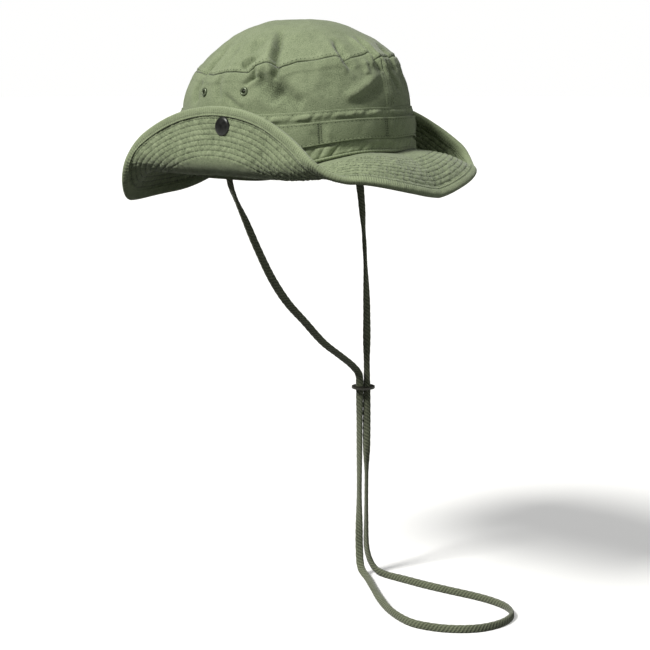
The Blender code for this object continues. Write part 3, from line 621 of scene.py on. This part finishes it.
# ---- Crown ----
SEAM_WAVE = [(-60, 70.0), (-17, 71.0), (-2, 69.8), (5, 69.2), (8, 72.6), (17, 70.8), (25, 69.2), (31, 71.5),
             (42, 70.2), (52, 69.0), (57, 67.0), (61, 65.6), (65, 68.4), (71, 68.8), (75, 67.8), (78, 63.0),
             (85, 63.8), (93, 64.2), (103, 63.2), (113, 65.5), (137, 69.0), (160, 70.5), (200, 69.0),
             (215, 66.5), (230, 69.5), (262, 67.5), (280, 70.5), (300, 70.0)]

# How strongly each crease below shows, as relief, as painted shade in its valley and as a painted highlight
# on the ridge beside it.
VALLEY_DEPTH, VALLEY_SHADE, RIDGE_HEIGHT, RIDGE_HIGHLIGHT = 1.35, 0.055, 1.3, 0.045

# Creases: path of (angle in degrees, reach in mm), width, depth, then an optional ridge
# beside the crease as (offset, width, height). A negative depth is a ridge.
CREASES = [
    ([(67.5, 108), (65.8, 96), (65.0, 84), (65.2, 73), (63.4, 65), (64, 57)], 3.1, 4.2, (5.6, 4.2, 2.0)),
    ([(120, 97), (112, 83), (113, 72), (116, 64)], 6.5, 3.8, (-7.0, 4.0, 0.8)),
    ([(75, 77), (80, 71), (83, 66)], 3.6, 2.6, (5.0, 3.0, 0.8)),
    ([(79.5, 94), (80, 76)], 4.0, 1.3, None),
    ([(96, 96), (97, 80), (95, 66)], 6.0, 1.1, None),
    ([(24, 92), (26, 80), (25, 68), (22, 62)], 3.2, 2.6, (4.6, 3.2, 1.0)),
    ([(7, 98), (9.8, 82), (7.6, 71), (9, 62)], 3.0, -1.6, None),
    ([(1, 96), (3.6, 80), (3.0, 68), (1, 60)], 3.4, 2.6, (-5.0, 3.5, 1.2)),
    ([(73, 66), (70.5, 58), (65.5, 50), (60, 43.5)], 7.0, 4.2, (9.5, 4.5, 0.8)),
    ([(64, 60), (60, 51), (55.5, 44), (49, 39)], 6.5, 3.6, (-8.5, 5.0, 0.6)),
    ([(4, 61), (12, 54), (20, 48), (29, 42)], 4.5, -2.0, (-8.0, 5.5, -2.0)),
    ([(13, 70), (13.5, 58)], 2.8, -1.3, None),
    ([(-6, 70), (-7, 57), (-11, 48)], 4.0, 1.8, (5.0, 3.0, 0.9)),
    ([(75, 69), (75.2, 60), (80, 54)], 2.2, 2.4, (-3.6, 2.4, 1.0)),
    ([(92, 50), (87, 45), (82, 40), (78, 38)], 2.6, 1.6, None),
    ([(94, 64), (97, 56), (94, 44)], 3.6, 1.6, None),
    ([(112, 62), (116, 52), (113, 42)], 4.4, 2.0, None),
    ([(38, 66), (36, 54), (40, 46)], 7.0, 1.2, None),
    ([(150, 108), (146, 88), (149, 70), (144, 56)], 5.0, 3.4, (6.0, 4.0, 1.4)),
    ([(170, 92), (168, 76), (172, 62)], 4.2, 2.0, None),
    ([(190, 112), (194, 90), (191, 72), (196, 58), (190, 48)], 5.2, 3.6, (-6.5, 4.5, 1.6)),
    ([(213, 88), (216, 72), (213, 60)], 4.0, 2.2, (5.0, 3.0, 0.8)),
    ([(236, 104), (231, 86), (234, 68), (229, 54), (233, 44)], 5.5, 3.2, (6.0, 4.2, 1.2)),
    ([(256, 90), (259, 74), (255, 62)], 4.0, 1.8, None),
    ([(284, 110), (280, 92), (283, 72), (279, 58), (284, 46)], 4.8, 3.8, (-6.0, 4.0, 1.5)),
    ([(304, 92), (301, 76), (306, 60), (300, 48)], 4.6, 2.2, (5.0, 3.2, 0.9)),
    ([(328, 104), (331, 86), (328, 70), (333, 56), (328, 46)], 4.4, 3.0, (5.5, 3.5, 1.2)),
    ([(346, 86), (344, 72), (347, 60)], 3.6, 1.8, None),
]


def nearest_turn(angle):
    """The same turn, brought between half a turn back and half a turn on."""
    return (angle + math.pi) % TURN - math.pi


def vent_place(side_sign, offset):
    """The middle of a vent on one side of the smooth crown."""
    return cap_point(np.array(-side_sign * (math.pi / 2 + offset)), np.array(VENT_HEIGHT))


def seam_reach(angle):
    """How far up the crown the top seam runs, at an angle round the hat."""
    degrees, reach = np.array(SEAM_WAVE).T
    turned = (np.degrees(angle) + 60) % 360 - 60
    return np.interp(turned, degrees, reach / 1000, period=360)


def crease_lift(angle, reach, place):
    """How far the creases push each point of the crown out, and the shade and highlight painted on it."""
    lift, tone = np.zeros(angle.shape), np.zeros(angle.shape)
    for path, width, depth, beside in CREASES:
        line = np.array(path, float)
        share = np.linspace(0, 1, 26)
        station = np.linspace(0, 1, len(line))
        along_angle = np.radians(np.interp(share, station, line[:, 0]))
        along_reach = np.interp(share, station, line[:, 1]) / 1000
        near, which = np.full(angle.shape, np.inf), np.zeros(angle.shape, int)
        for i, spot in enumerate(cap_point(along_angle, along_reach)):
            apart = ((place - spot) ** 2).sum(-1)
            which = np.where(apart < near, i, which)
            near = np.minimum(apart, near)
        near = np.sqrt(near) * 1000
        signed = near * np.sign(nearest_turn(angle - along_angle[which]))
        fade = np.clip(np.minimum(2.6 * share[which] + 0.04, 4.2 * (1.06 - share[which])), 0.0, 1.0)
        fade = fade * fade * (3 - 2 * fade)
        valley = np.exp(-(near / width) ** 2) * fade
        lift -= VALLEY_DEPTH * depth * valley / 1000
        # Painted shade in the crease valley.
        tone -= VALLEY_SHADE * depth * valley
        if beside is not None:
            offset, spread, height = beside
            ridge = np.exp(-((signed - offset) / spread) ** 2) * fade
            lift += RIDGE_HEIGHT * height * ridge / 1000
            # Painted highlight on the ridge beside the crease.
            tone += RIDGE_HIGHLIGHT * height * ridge
    return lift, tone


def crown_cloth(angle, reach):
    """Points of the smooth crown, how far its creased cloth stands off them, and its painted shade and
    highlight.
    """
    angle, reach = np.broadcast_arrays(angle, reach)
    place = cap_point(angle, reach)
    lift, tone = crease_lift(angle, reach, place)
    lift = lift + 0.0016 * lattice_noise(place, 0.034, 3) + 0.0006 * lattice_noise(place, 0.013, 4)
    lift = lift + 0.00022 * lattice_noise(place, 0.0055, 5)
    seam = seam_reach(angle)
    lift = lift * smooth_step(reach, 0.034, 0.047)
    for sign in SIDES.values():
        for offset in VENT_ANGLES:
            near = np.linalg.norm(place - vent_place(sign, offset), axis=-1)
            lift = lift * (1 - np.exp(-(near / 0.0062) ** 2))
    below = seam - reach
    lift = lift + 0.00045 * smooth_step(0.0072 - below, 0.0, 0.0012) * (below > 0)
    lift = lift - 0.0006 * np.exp(-(below / 0.0005) ** 2)
    lift = lift + 0.0006 * np.exp(-((below + 0.0020) / 0.0015) ** 2)
    # Painted shade in the groove of the top seam, a painted highlight on the bulge just above it, and painted
    # shade along the lower edge of the seam allowance.
    tone = tone - 0.16 * np.exp(-(below / 0.0006) ** 2)
    tone = tone + 0.06 * np.exp(-((below + 0.002) / 0.0012) ** 2)
    tone = tone - 0.05 * np.exp(-((below - 0.0075) / 0.0010) ** 2)
    for middle in (0.0, math.pi):
        aside = nearest_turn(angle - middle) * CROWN_RADIUS
        lower = reach < seam
        lift = lift + 0.0004 * (1 - smooth_step(np.abs(aside), 0.0048, 0.0058)) * lower
        # Painted shade in the groove of each wall join.
        tone = tone - 0.2 * np.exp(-(aside / 0.0006) ** 2) * lower
    return place, lift, 0.5 + tone


def crown_surface(angle, reach, out=0.0, round_columns=True):
    """Points, outward normals and tone of the crown cloth, moved outward."""
    place, lift, tone = crown_cloth(angle, reach)
    normal = grid_normals(place, round_columns)
    middle = np.array([0.0, 0.0, 0.02])
    flip = np.sign(((place - middle) * normal).sum(-1, keepdims=True))
    normal = normal * np.where(flip == 0, 1, flip)
    return place + normal * (lift + out)[..., None], normal, tone


def half_turn(sign, gap, count):
    """Angles of one side of the hat, always in the same sense, with a gap at front and back."""
    turn = np.linspace(gap, math.pi - gap, count) * (-sign)
    return turn[::-1] if sign > 0 else turn


def make_walls():
    """The two side panels, with their vent holes."""
    rows, columns, foot = 84, 420, -0.0012
    for side, sign in SIDES.items():
        turn = half_turn(sign, 0.0012, columns)
        share = np.linspace(0.0, 1.0, rows)[:, None]
        reach = foot + share * (seam_reach(turn)[None, :] - 0.0002 - foot)
        points, normal, tone = crown_surface(turn[None, :], reach, -CLOTH / 2, False)
        uv = pattern_at(turn[None, :] * CROWN_RADIUS, reach)
        faces = grid_faces(rows, columns)
        centre = points.reshape(-1, 3)[faces].mean(1)
        keep = np.ones(len(faces), bool)
        for offset in VENT_ANGLES:
            keep &= np.linalg.norm(centre - vent_place(sign, offset), axis=1) > VENT_HOLE
        panel = thicken(build("side_wall_" + side, points, faces[keep], canvas, uv, tone), CLOTH)
        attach(panel, "root")
        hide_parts("side_panel_" + side)


def make_top():
    """The top panel, from the top seam over the dome to a fan of faces at its middle."""
    rows, columns = 95, 840
    around = full_turn(columns)
    share = np.linspace(0.0, 1.0, rows + 1)[:-1, None] ** 1.05
    rim = seam_reach(around)[None, :] + 0.0002
    reach = rim + share * (WALL_HEIGHT + DOME_REACH - rim)
    points, normal, tone = crown_surface(around[None, :], reach, -CLOTH / 2)
    tip = points[-1].mean(0) + np.array([0, 0, 0.00005])
    points = np.concatenate([points.reshape(-1, 3), tip[None, :]])
    last = (rows - 1) * columns + np.arange(columns)
    fan = np.stack([last, np.roll(last, -1), np.full(columns, len(points) - 1)], -1)
    top = build("crown_top_cloth", points, [grid_faces(rows, columns, round_columns=True), fan], canvas,
                points[:, :2], np.concatenate([tone.ravel(), tone[-1, :1]]))
    thicken(top, CLOTH)
    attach(top, "root")
    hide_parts("crown_tip")


def make_crown_stitching():
    """One row above the top seam and two beside each join of the wall."""
    around = np.linspace(0, TURN, 1500)
    grid = seam_reach(around)[None, :] + either_side(0.0019, 0.0006)
    points, normal, _ = crown_surface(around[None, :], grid, 0.0, False)
    thread_rows = [(points[1], normal[1])]
    for middle in (0.0, math.pi):
        for aside in (-0.0034, 0.0034):
            rise = np.linspace(0.037, 0.067, 120)
            turn = middle + aside / CROWN_RADIUS + np.zeros(120)
            grid = turn[:, None] + either_side(0.0, 0.006).T
            points, normal, _ = crown_surface(grid, rise[:, None] + np.zeros((1, 3)), 0.0, False)
            thread_rows.append((points[:, 1], normal[:, 1]))
    seams = sew("crown_stitching", thread_rows)
    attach(seams, "root")


def make_seam_tape():
    """The tape that covers the top seam inside the crown."""
    columns = 240
    around = full_turn(columns)
    rows = np.array([-0.0068, -0.0030, 0.0030, 0.0068])[:, None]
    place, lift, _ = crown_cloth(around[None, :], np.clip(seam_reach(around)[None, :] + rows, 0, 1))
    normal = grid_normals(place, True)
    flip = np.sign((normal * place).sum(-1, keepdims=True))
    inside = place + normal * flip * (lift - CLOTH - 0.0014)[..., None]
    uv = pattern_at(around[None, :] * LINING_RADIUS, rows)
    faces = grid_faces(len(rows), columns, round_columns=True)
    tape_ring = build("crown_seam_tape_ring", inside, faces, lining, uv)
    thicken(tape_ring, 0.0005)
    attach(tape_ring, "root")
    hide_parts("crown_seam_tape")


# ---- Bands, piping and sweatband ----
def band_lift(turn, rise):
    """Puckers of the crown band, which stay clear of the loop band over it."""
    u = turn * CROWN_RADIUS
    covered = smooth_step(rise, LOOP_BAND[0] - 0.003, LOOP_BAND[0] - 0.0005)
    covered = covered * (1 - smooth_step(rise, LOOP_BAND[1] + 0.0005, LOOP_BAND[1] + 0.003))
    slant = u + 0.7 * rise
    pucker = (0.0019 * np.abs(flat_noise(slant, rise, 0.0085, 0.020, 11))
              + 0.0008 * np.abs(flat_noise(slant, rise, 0.0040, 0.012, 12)))
    ends = smooth_step(rise, CROWN_BAND[0], CROWN_BAND[0] + 0.003) * (
        1 - smooth_step(rise, CROWN_BAND[1] - 0.0035, CROWN_BAND[1] - 0.001))
    rolled = 0.00025 * smooth_step(rise, CROWN_BAND[1] - 0.0012, CROWN_BAND[1])
    return 1.15 * pucker * (1 - covered) * ends + rolled


def stud_distance(turn, rise):
    """How far a place on the crown is from the snap stud of its side."""
    low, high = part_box("snap_stud_left")
    place = crown_point(turn, rise)
    return np.hypot(place[..., 1] - (low[1] + high[1]) / 2, place[..., 2] - (low[2] + high[2]) / 2)


def loop_lift(turn, rise):
    """Each foliage loop stands a little off the band between its bartacks and clear of the studs."""
    share = ((turn - BARTACK_FIRST) / BARTACK_STEP) % 1.0
    puff = np.sin(math.pi * share) ** 0.6
    middle = (rise - sum(LOOP_BAND) / 2) / (LOOP_BAND[1] - LOOP_BAND[0])
    u = turn * CROWN_RADIUS
    creases = 0.0005 * flat_noise(u + 0.9 * rise, rise, 0.009, 0.022, 14) * smooth_step(puff, 0.2, 0.8)
    tack = np.minimum(share, 1 - share) * BARTACK_STEP * CROWN_RADIUS
    uneven = 0.5 + flat_noise(u - rise, rise, 0.006, 0.01, 15)
    pull = 0.0006 * np.exp(-((tack - 0.006) / 0.003) ** 2) * uneven
    rolled = 0.0003 * np.exp(-((np.abs(middle) - 0.5) / 0.06) ** 2)
    lift = 0.0011 * puff + 0.0004 * puff * (1 - 4 * middle ** 2) + creases + pull + rolled + 0.0002
    return lift * smooth_step(stud_distance(turn, rise), 0.0062, 0.0110)


def band_surface(turn, rise, out):
    """Points and normals of a band round the crown, offset level and outward."""
    points = crown_point(turn, rise, out)
    normal = grid_normals(points)
    flip = np.sign((normal[..., :2] * points[..., :2]).sum(-1, keepdims=True))
    return points, normal * flip


def make_bands():
    """The crown band and, over it, the foliage loop band."""
    columns = 900
    around = full_turn(columns)
    specs = [("crown_band_cloth", "crown_band", CROWN_BAND, 46, 0.0006, 0.0006, band_lift),
             ("foliage_loops", "foliage_loop_band", LOOP_BAND, 24, 0.0016, 0.0009, loop_lift)]
    for name, node, (low, high), rows, out, thickness, lift_of in specs:
        rise = np.linspace(low, high, rows)[:, None]
        lift = lift_of(around[None, :], rise)
        points = crown_point(around[None, :], rise, out + lift)
        uv = pattern_at(around[None, :] * CROWN_RADIUS, rise + 0.5)
        edge = np.minimum(rise - low, high - rise)
        # Painted highlight along the band's edges and where it puffs out, painted shade where it sinks, and
        # painted shade in the stitch groove near each edge.
        tone = 0.5 + 0.05 * np.exp(-(edge / 0.0009) ** 2) + 90 * (lift - lift.mean())
        tone = np.clip(tone - 0.10 * np.exp(-((edge - 0.0016) / 0.0004) ** 2), 0.1, 0.8)
        band = build(name, points, grid_faces(rows, columns, round_columns=True), canvas, uv,
                     np.broadcast_to(tone, points.shape[:2]))
        thicken(band, thickness)
        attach(band, "root")
        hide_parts(node)


def make_band_stitching():
    """The rows along both bands, and the pair of thick bartacks at each end of a foliage loop."""
    thread_rows, tacks = [], []
    turn = np.linspace(0, TURN, 1600)[None, :]
    for rise, out, lift_of in ((CROWN_BAND[1] - 0.0016, 0.0009, band_lift),
                               (LOOP_BAND[1] - 0.0014, 0.00205, loop_lift),
                               (LOOP_BAND[0] + 0.0014, 0.00205, loop_lift)):
        rises = either_side(rise, 0.0006)
        points, normal = band_surface(turn, rises, out + lift_of(turn, rises))
        thread_rows.append((points[1], normal[1]))
    for middle in BARTACK_FIRST + BARTACK_STEP * np.arange(round(TURN / BARTACK_STEP)):
        for aside in (-0.0011, 0.0011):
            rise = np.linspace(LOOP_BAND[0] + 0.0012, LOOP_BAND[1] - 0.0012, 60)
            line = middle + (aside + 0.06 * (rise - LOOP_BAND[0])) / CROWN_RADIUS
            turns = line[:, None] + either_side(0.0, 0.006).T
            rises = rise[:, None] + np.zeros((1, 3))
            points, normal = band_surface(turns, rises, 0.0021 + loop_lift(turns, rises))
            tacks.append((points[:, 1], normal[:, 1]))
    rows = sew("band_stitching", thread_rows)
    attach(rows, "root")
    bars = sew("loop_bartacks", tacks, stitch=0.0011, gap=0.0002, width=0.0012, height=0.0005)
    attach(bars, "root")


def make_piping():
    """The corded ridge that covers the brim seam, with the cord's twist showing through."""
    columns, sides = 1400, 10
    around, ring = full_turn(columns), full_turn(sides)
    radius = 0.00105 + 0.00007 * np.sin(around * BAND_RADIUS * TURN / 0.0026)
    height = 0.0031 + radius[None, :] * np.sin(ring)[:, None]
    out = 0.0025 + radius[None, :] * np.cos(ring)[:, None]
    points = crown_point(around[None, :], height, out)
    uv = pattern_at(around[None, :] * BAND_RADIUS, ring[:, None] * 0.0011)
    # The tone paints highlight on the thicker turns of the cord's twist and shade on the thinner ones.
    piping = build("seam_piping_cord", points, grid_faces(sides, columns, True, True)[:, ::-1], tape, uv,
                   np.broadcast_to(0.46 + 900 * (radius - 0.00105), points.shape[:2]))
    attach(piping, "root")
    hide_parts("brim_seam_piping")


def make_sweatband():
    """The band inside the foot of the crown, and the two rows that hold it."""
    rows, columns = 14, 400
    around = full_turn(columns)
    rise = np.linspace(*SWEATBAND, rows)[:, None]
    edge = np.minimum(rise - SWEATBAND[0], SWEATBAND[1] - rise)
    lift = (0.00018 * flat_noise(around[None, :] * LINING_RADIUS, rise, 0.007, 0.01, 21)
            + 0.0001 * np.exp(-(edge / 0.001) ** 2))
    points = crown_point(around[None, :], rise, -0.0016 + lift)
    uv = pattern_at(around[None, :] * LINING_RADIUS, rise)
    sweat = build("sweatband_lining", points, grid_faces(rows, columns, round_columns=True), lining, uv)
    thicken(sweat, 0.0008)
    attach(sweat, "root")
    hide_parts("sweatband")
    turn = np.linspace(0, TURN, 1200)[None, :]
    lines = []
    for height in (SWEATBAND[0] + 0.0022, SWEATBAND[1] - 0.0018):
        points, normal = band_surface(turn, either_side(height, 0.0005), -0.00205)
        lines.append((points[1], -normal[1]))
    seams = sew("sweatband_stitching", lines)
    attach(seams, "root")


# ---- Brim ----
def brim_lift(turn, edge, under):
    """Half thickness of the quilted brim at a distance in from its edge, and the shade and highlight painted
    on it.
    """
    arc = turn * BRIM_RADIUS
    quilted = 1 - smooth_step(edge, STITCH_ROWS[-1] + 0.0005, STITCH_ROWS[-1] + 0.004)
    groove = sum(np.exp(-((edge - row) / 0.00040) ** 2) for row in STITCH_ROWS)
    phase = (edge - STITCH_ROWS[0]) / STITCH_PITCH
    seed = 40 if under else 60
    puff = 0.00012 * (1 - np.cos(TURN * phase)) / 2 * quilted
    skew = arc + 0.45 * edge
    row = np.floor(phase + 0.02) * 7.3
    pucker = (flat_noise(skew, row * 0.01 + edge * 0.5, 0.0013, 0.0016, seed) * 0.00030
              + flat_noise(arc - 0.6 * edge, edge, 0.0026, 0.0034, seed + 1) * 0.00022)
    pucker = pucker * (0.20 + 0.80 * quilted)
    soft = 0.00035 * flat_noise(arc, edge, 0.024, 0.018, seed + 2)
    lift = HALF_BRIM + 0.0001 + puff + pucker + soft - 0.00030 * groove * (quilted > 0.5)
    # Painted highlight on raised puckers and painted shade in their hollows and in the stitch grooves; the
    # quilted band is a little lighter overall.
    tone = 0.5 + 520 * pucker - 0.34 * groove + 0.03 * quilted
    return lift, tone


def brim_sheet_points(turn, edge, lift):
    """Points of the brim at angles and distances in from its edge."""
    return brim_point(*flat_point(turn, brim_width(turn) - edge), lift)


def make_brim():
    """Each half of the brim, both faces in one piece, with its quilting and its binding."""
    rows, inner = 116, 0.0013
    for side, sign in SIDES.items():
        turn = half_turn(sign, 0.0006, 680)
        depth = (brim_width(turn) - inner)[None, :]
        share = np.linspace(0.0, 1.0, rows)[:, None]
        edge = depth * (1 - share)
        layers, tones = [], []
        for under in (False, True):
            lift, tone = brim_lift(turn[None, :], edge, under)
            taper = 1 - 0.45 * (1 - smooth_step(edge, 0.0, 0.004))
            lift = lift * taper * np.where(edge > depth - 0.0012, 0.8, 1.0)
            layers.append(brim_sheet_points(turn[None, :], edge, -lift if under else lift))
            tones.append(tone)
        points = np.concatenate([layers[0], layers[1][::-1]])
        uv_edge = np.concatenate([edge, 0.3 + edge[::-1]])
        uv = pattern_at(turn[None, :] * BRIM_RADIUS, uv_edge)
        tone = np.concatenate([tones[0], tones[1][::-1]])
        columns, total, lid = len(turn), 2 * rows, []
        i = np.arange(rows - 1)
        for column in (0, columns - 1):
            quad = np.stack([i * columns, (i + 1) * columns, (total - 2 - i) * columns,
                             (total - 1 - i) * columns], -1) + column
            lid.append(quad if column == 0 else quad[:, ::-1])
        half = build("brim_" + side, points, [grid_faces(total, columns, True)[:, ::-1]] + lid, brim_canvas,
                     uv, tone)
        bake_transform(half)
        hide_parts("brim_body_top", "brim_body_under", "brim_body_interlining",
                    *(f"{side}_{part}_{layer}" for part in ("fold", "flap")
                      for layer in ("top", "under", "interlining")))

        lines = []
        dense = np.linspace(turn[0], turn[-1], 1600)[None, :]
        for row in STITCH_ROWS:
            for under in (False, True):
                edges = either_side(row, 0.0005)
                lift = brim_lift(dense, edges, under)[0] + 0.00012
                face = brim_sheet_points(dense, edges, -lift if under else lift)
                up = unit(face - brim_sheet_points(dense, edges, 0.0))
                lines.append((face[1], up[1]))
        rows_piece = sew("brim_stitching_" + side, lines, stitch=0.0023, gap=0.0010, width=0.0005,
                         height=0.00024)
        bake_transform(rows_piece)
        make_binding(side, turn)


def binding_lift(turn, edge):
    """Half thickness of the folded tape round the brim's edge, with its ribs and puckers."""
    arc = turn * EDGE_RADIUS
    rib = 0.00014 * np.sin(TURN * (arc + 0.25 * edge) / RIB_PITCH)
    pucker = 0.00022 * flat_noise(arc, edge, 0.0034, 0.009, 71)
    puff = 0.00035 * np.exp(-((edge - 0.0018) / 0.0022) ** 2)
    return 0.00195 + puff + (rib + pucker) * smooth_step(edge, -0.001, 0.001)


def binding_face(turn, under):
    """The binding on one face of the brim, row by row from its inner edge, with a dip at its seam."""
    rows = []
    for edge in BINDING_ROWS:
        lift = binding_lift(turn + (1.0 if under else 0.0), np.full(len(turn), edge))
        if edge == BINDING_DEPTH:
            lift = lift - 0.0002
        if edge == BINDING_SEAM:
            lift = lift - 0.00035
        rows.append(brim_sheet_points(turn, edge, -lift if under else lift))
    return rows


def make_binding(side, turn):
    """The tape folded round the edge of one half of the brim, and its stitching."""
    fine = np.linspace(turn[0], turn[-1], 1500)
    bend, bend_edges = [], []
    for angle in (65, 35, 0, -35, -65):
        bend_edges.append(-0.0014 * math.cos(math.radians(angle)))
        bend.append(brim_sheet_points(fine, bend_edges[-1], 0.0021 * math.sin(math.radians(angle))))
    points = np.array(binding_face(fine, False) + bend + binding_face(fine, True)[::-1])
    edges = np.array(BINDING_ROWS + bend_edges + [0.05 - edge for edge in BINDING_ROWS[::-1]])[:, None]
    uv = pattern_at(fine[None, :] * EDGE_RADIUS, edges)
    # Painted highlight and shade along the ribs and painted shade in the seam groove; the rows round the
    # folded edge are a little lighter.
    ribs = 0.12 * np.sin(TURN * fine[None, :] * EDGE_RADIUS / RIB_PITCH)
    seam = 0.40 * np.exp(-((np.abs(edges) - BINDING_SEAM) / 0.0006) ** 2)
    tone = 0.55 + ribs - seam + 0.06 * (edges < 0.0)
    piece = build("edge_binding_" + side, points, grid_faces(len(points), len(fine))[:, ::-1], tape, uv,
                  np.broadcast_to(tone, points.shape[:2]))
    thicken(piece, 0.0005, -1.0)
    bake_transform(piece)
    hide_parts("binding_front", "binding_back", f"{side}_flap_binding",
                f"{side}_fold_binding_front", f"{side}_fold_binding_back")
    lines = []
    for under in (False, True):
        edge = np.full(len(fine), BINDING_SEAM)
        lift = binding_lift(fine + (1.0 if under else 0.0), edge) - 0.0002
        face = brim_sheet_points(fine, edge, -lift if under else lift)
        lines.append((face, unit(face - brim_sheet_points(fine, edge, 0.0))))
    rows_piece = sew("binding_stitching_" + side, lines, width=0.0006, height=0.0003)
    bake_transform(rows_piece)


# ---- Metal and leather ----
def turned(name, profile, centre, axis, look, segments=48):
    """A smooth turned piece: profile is (radius, height) pairs along an axis through centre."""
    turn = np.array(Vector((0, 0, 1)).rotation_difference(Vector(axis).normalized()).to_matrix())
    around = full_turn(segments)
    rings = [np.stack([r * np.cos(around), r * np.sin(around), np.full(segments, h)], -1)
             for r, h in profile]
    points = np.array(rings) @ turn.T + np.array(centre)
    faces = [grid_faces(len(profile), segments, round_columns=True)]
    for row in (0, len(profile) - 1):
        if profile[row][0] < 0.0004:
            cap = np.arange(segments)[None, :] + row * segments
            faces.append(cap[:, ::-1] if row == 0 else cap)
    if len(faces) == 1:
        faces = [grid_faces(len(profile), segments, True, True)]
    return build(name, points, faces, look)


def rounded(profile):
    """The profile with its corners rounded by cutting them off twice."""
    points = np.array(profile, float)
    for _ in range(2):
        cut = [points[:1]]
        for a, b in zip(points, points[1:]):
            cut.append(np.array([a * 0.8 + b * 0.2, a * 0.2 + b * 0.8]))
        points = np.concatenate(cut + [points[-1:]])
    return [tuple(p) for p in points]


def make_metal():
    """Snap caps and eyelets in full detail; the other small metal keeps its CAD shape."""
    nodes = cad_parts
    for side, sign in SIDES.items():
        low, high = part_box("snap_cap_" + side)
        lean = FLAP_LEAN - math.pi / 2
        outward = np.array([sign * math.cos(lean), 0.0, math.sin(lean)])
        middle = (np.array(low) + np.array(high)) / 2
        co = np.array([v.co for v in nodes["snap_cap_" + side].data.vertices])
        along = (co - middle) @ outward
        face = along.max() - 0.0022
        centre = middle + outward * face
        flat = co - middle - np.outer(along, outward)
        radius = float(np.linalg.norm(flat, axis=1).max())
        profile = rounded([(0.0002, 0.0023), (radius * 0.45, 0.0021), (radius * 0.80, 0.0016),
                           (radius * 0.97, 0.0007), (radius, 0.0001), (radius * 0.96, -0.0002),
                           (radius * 0.3, -0.0002), (0.0002, -0.0002)])
        cap = turned("snap_cap_face_" + side, profile, centre, outward, dark_metal)
        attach(cap, side + "_flap")
        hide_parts("snap_cap_" + side)
        for end, offset in zip(("front", "back"), VENT_ANGLES):
            name = f"vent_eyelet_{side}_{end}"
            around = -sign * (math.pi / 2 + offset)
            grid = crown_point(either_side(around, 0.02).T, either_side(VENT_HEIGHT, 0.002))
            normal = grid_normals(grid)[1, 1]
            centre = grid[1, 1]
            normal = normal if normal[:2] @ centre[:2] > 0 else -normal
            profile = rounded([(0.0014, -0.0024), (0.0014, 0.0010), (0.0023, 0.0018), (0.0033, 0.0013),
                               (0.0037, 0.0004), (0.0034, 0.0001), (0.0024, 0.0003), (0.0022, -0.0024)])
            ring = turned(f"eyelet_ring_{side}_{end}", profile, centre, normal, green_metal)
            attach(ring, "root")
            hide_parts(name)
    for name, node in nodes.items():
        if node.hide_render:
            continue
        if name.startswith("snap_"):
            look = dark_metal
        elif name.startswith("vent_"):
            look = green_metal
        elif name == "cord_slider":
            look = leather
        elif name.startswith("cord_tab"):
            look = cord_look
        else:
            raise RuntimeError("no look for CAD node " + name)
        node.data.materials.clear()
        node.data.materials.append(look)
        edge = node.modifiers.new("soft_edge", "BEVEL")
        edge.width = 0.0002
        edge.segments = 2
        edge.limit_method = "ANGLE"


def main():
    bpy.context.scene.view_settings.view_transform = "Standard"
    add_camera()
    make_cord()
    make_brim()
    make_walls()
    make_top()
    make_crown_stitching()
    make_seam_tape()
    make_bands()
    make_band_stitching()
    make_piping()
    make_sweatband()
    make_metal()
    add_floor()
    add_light()


main()
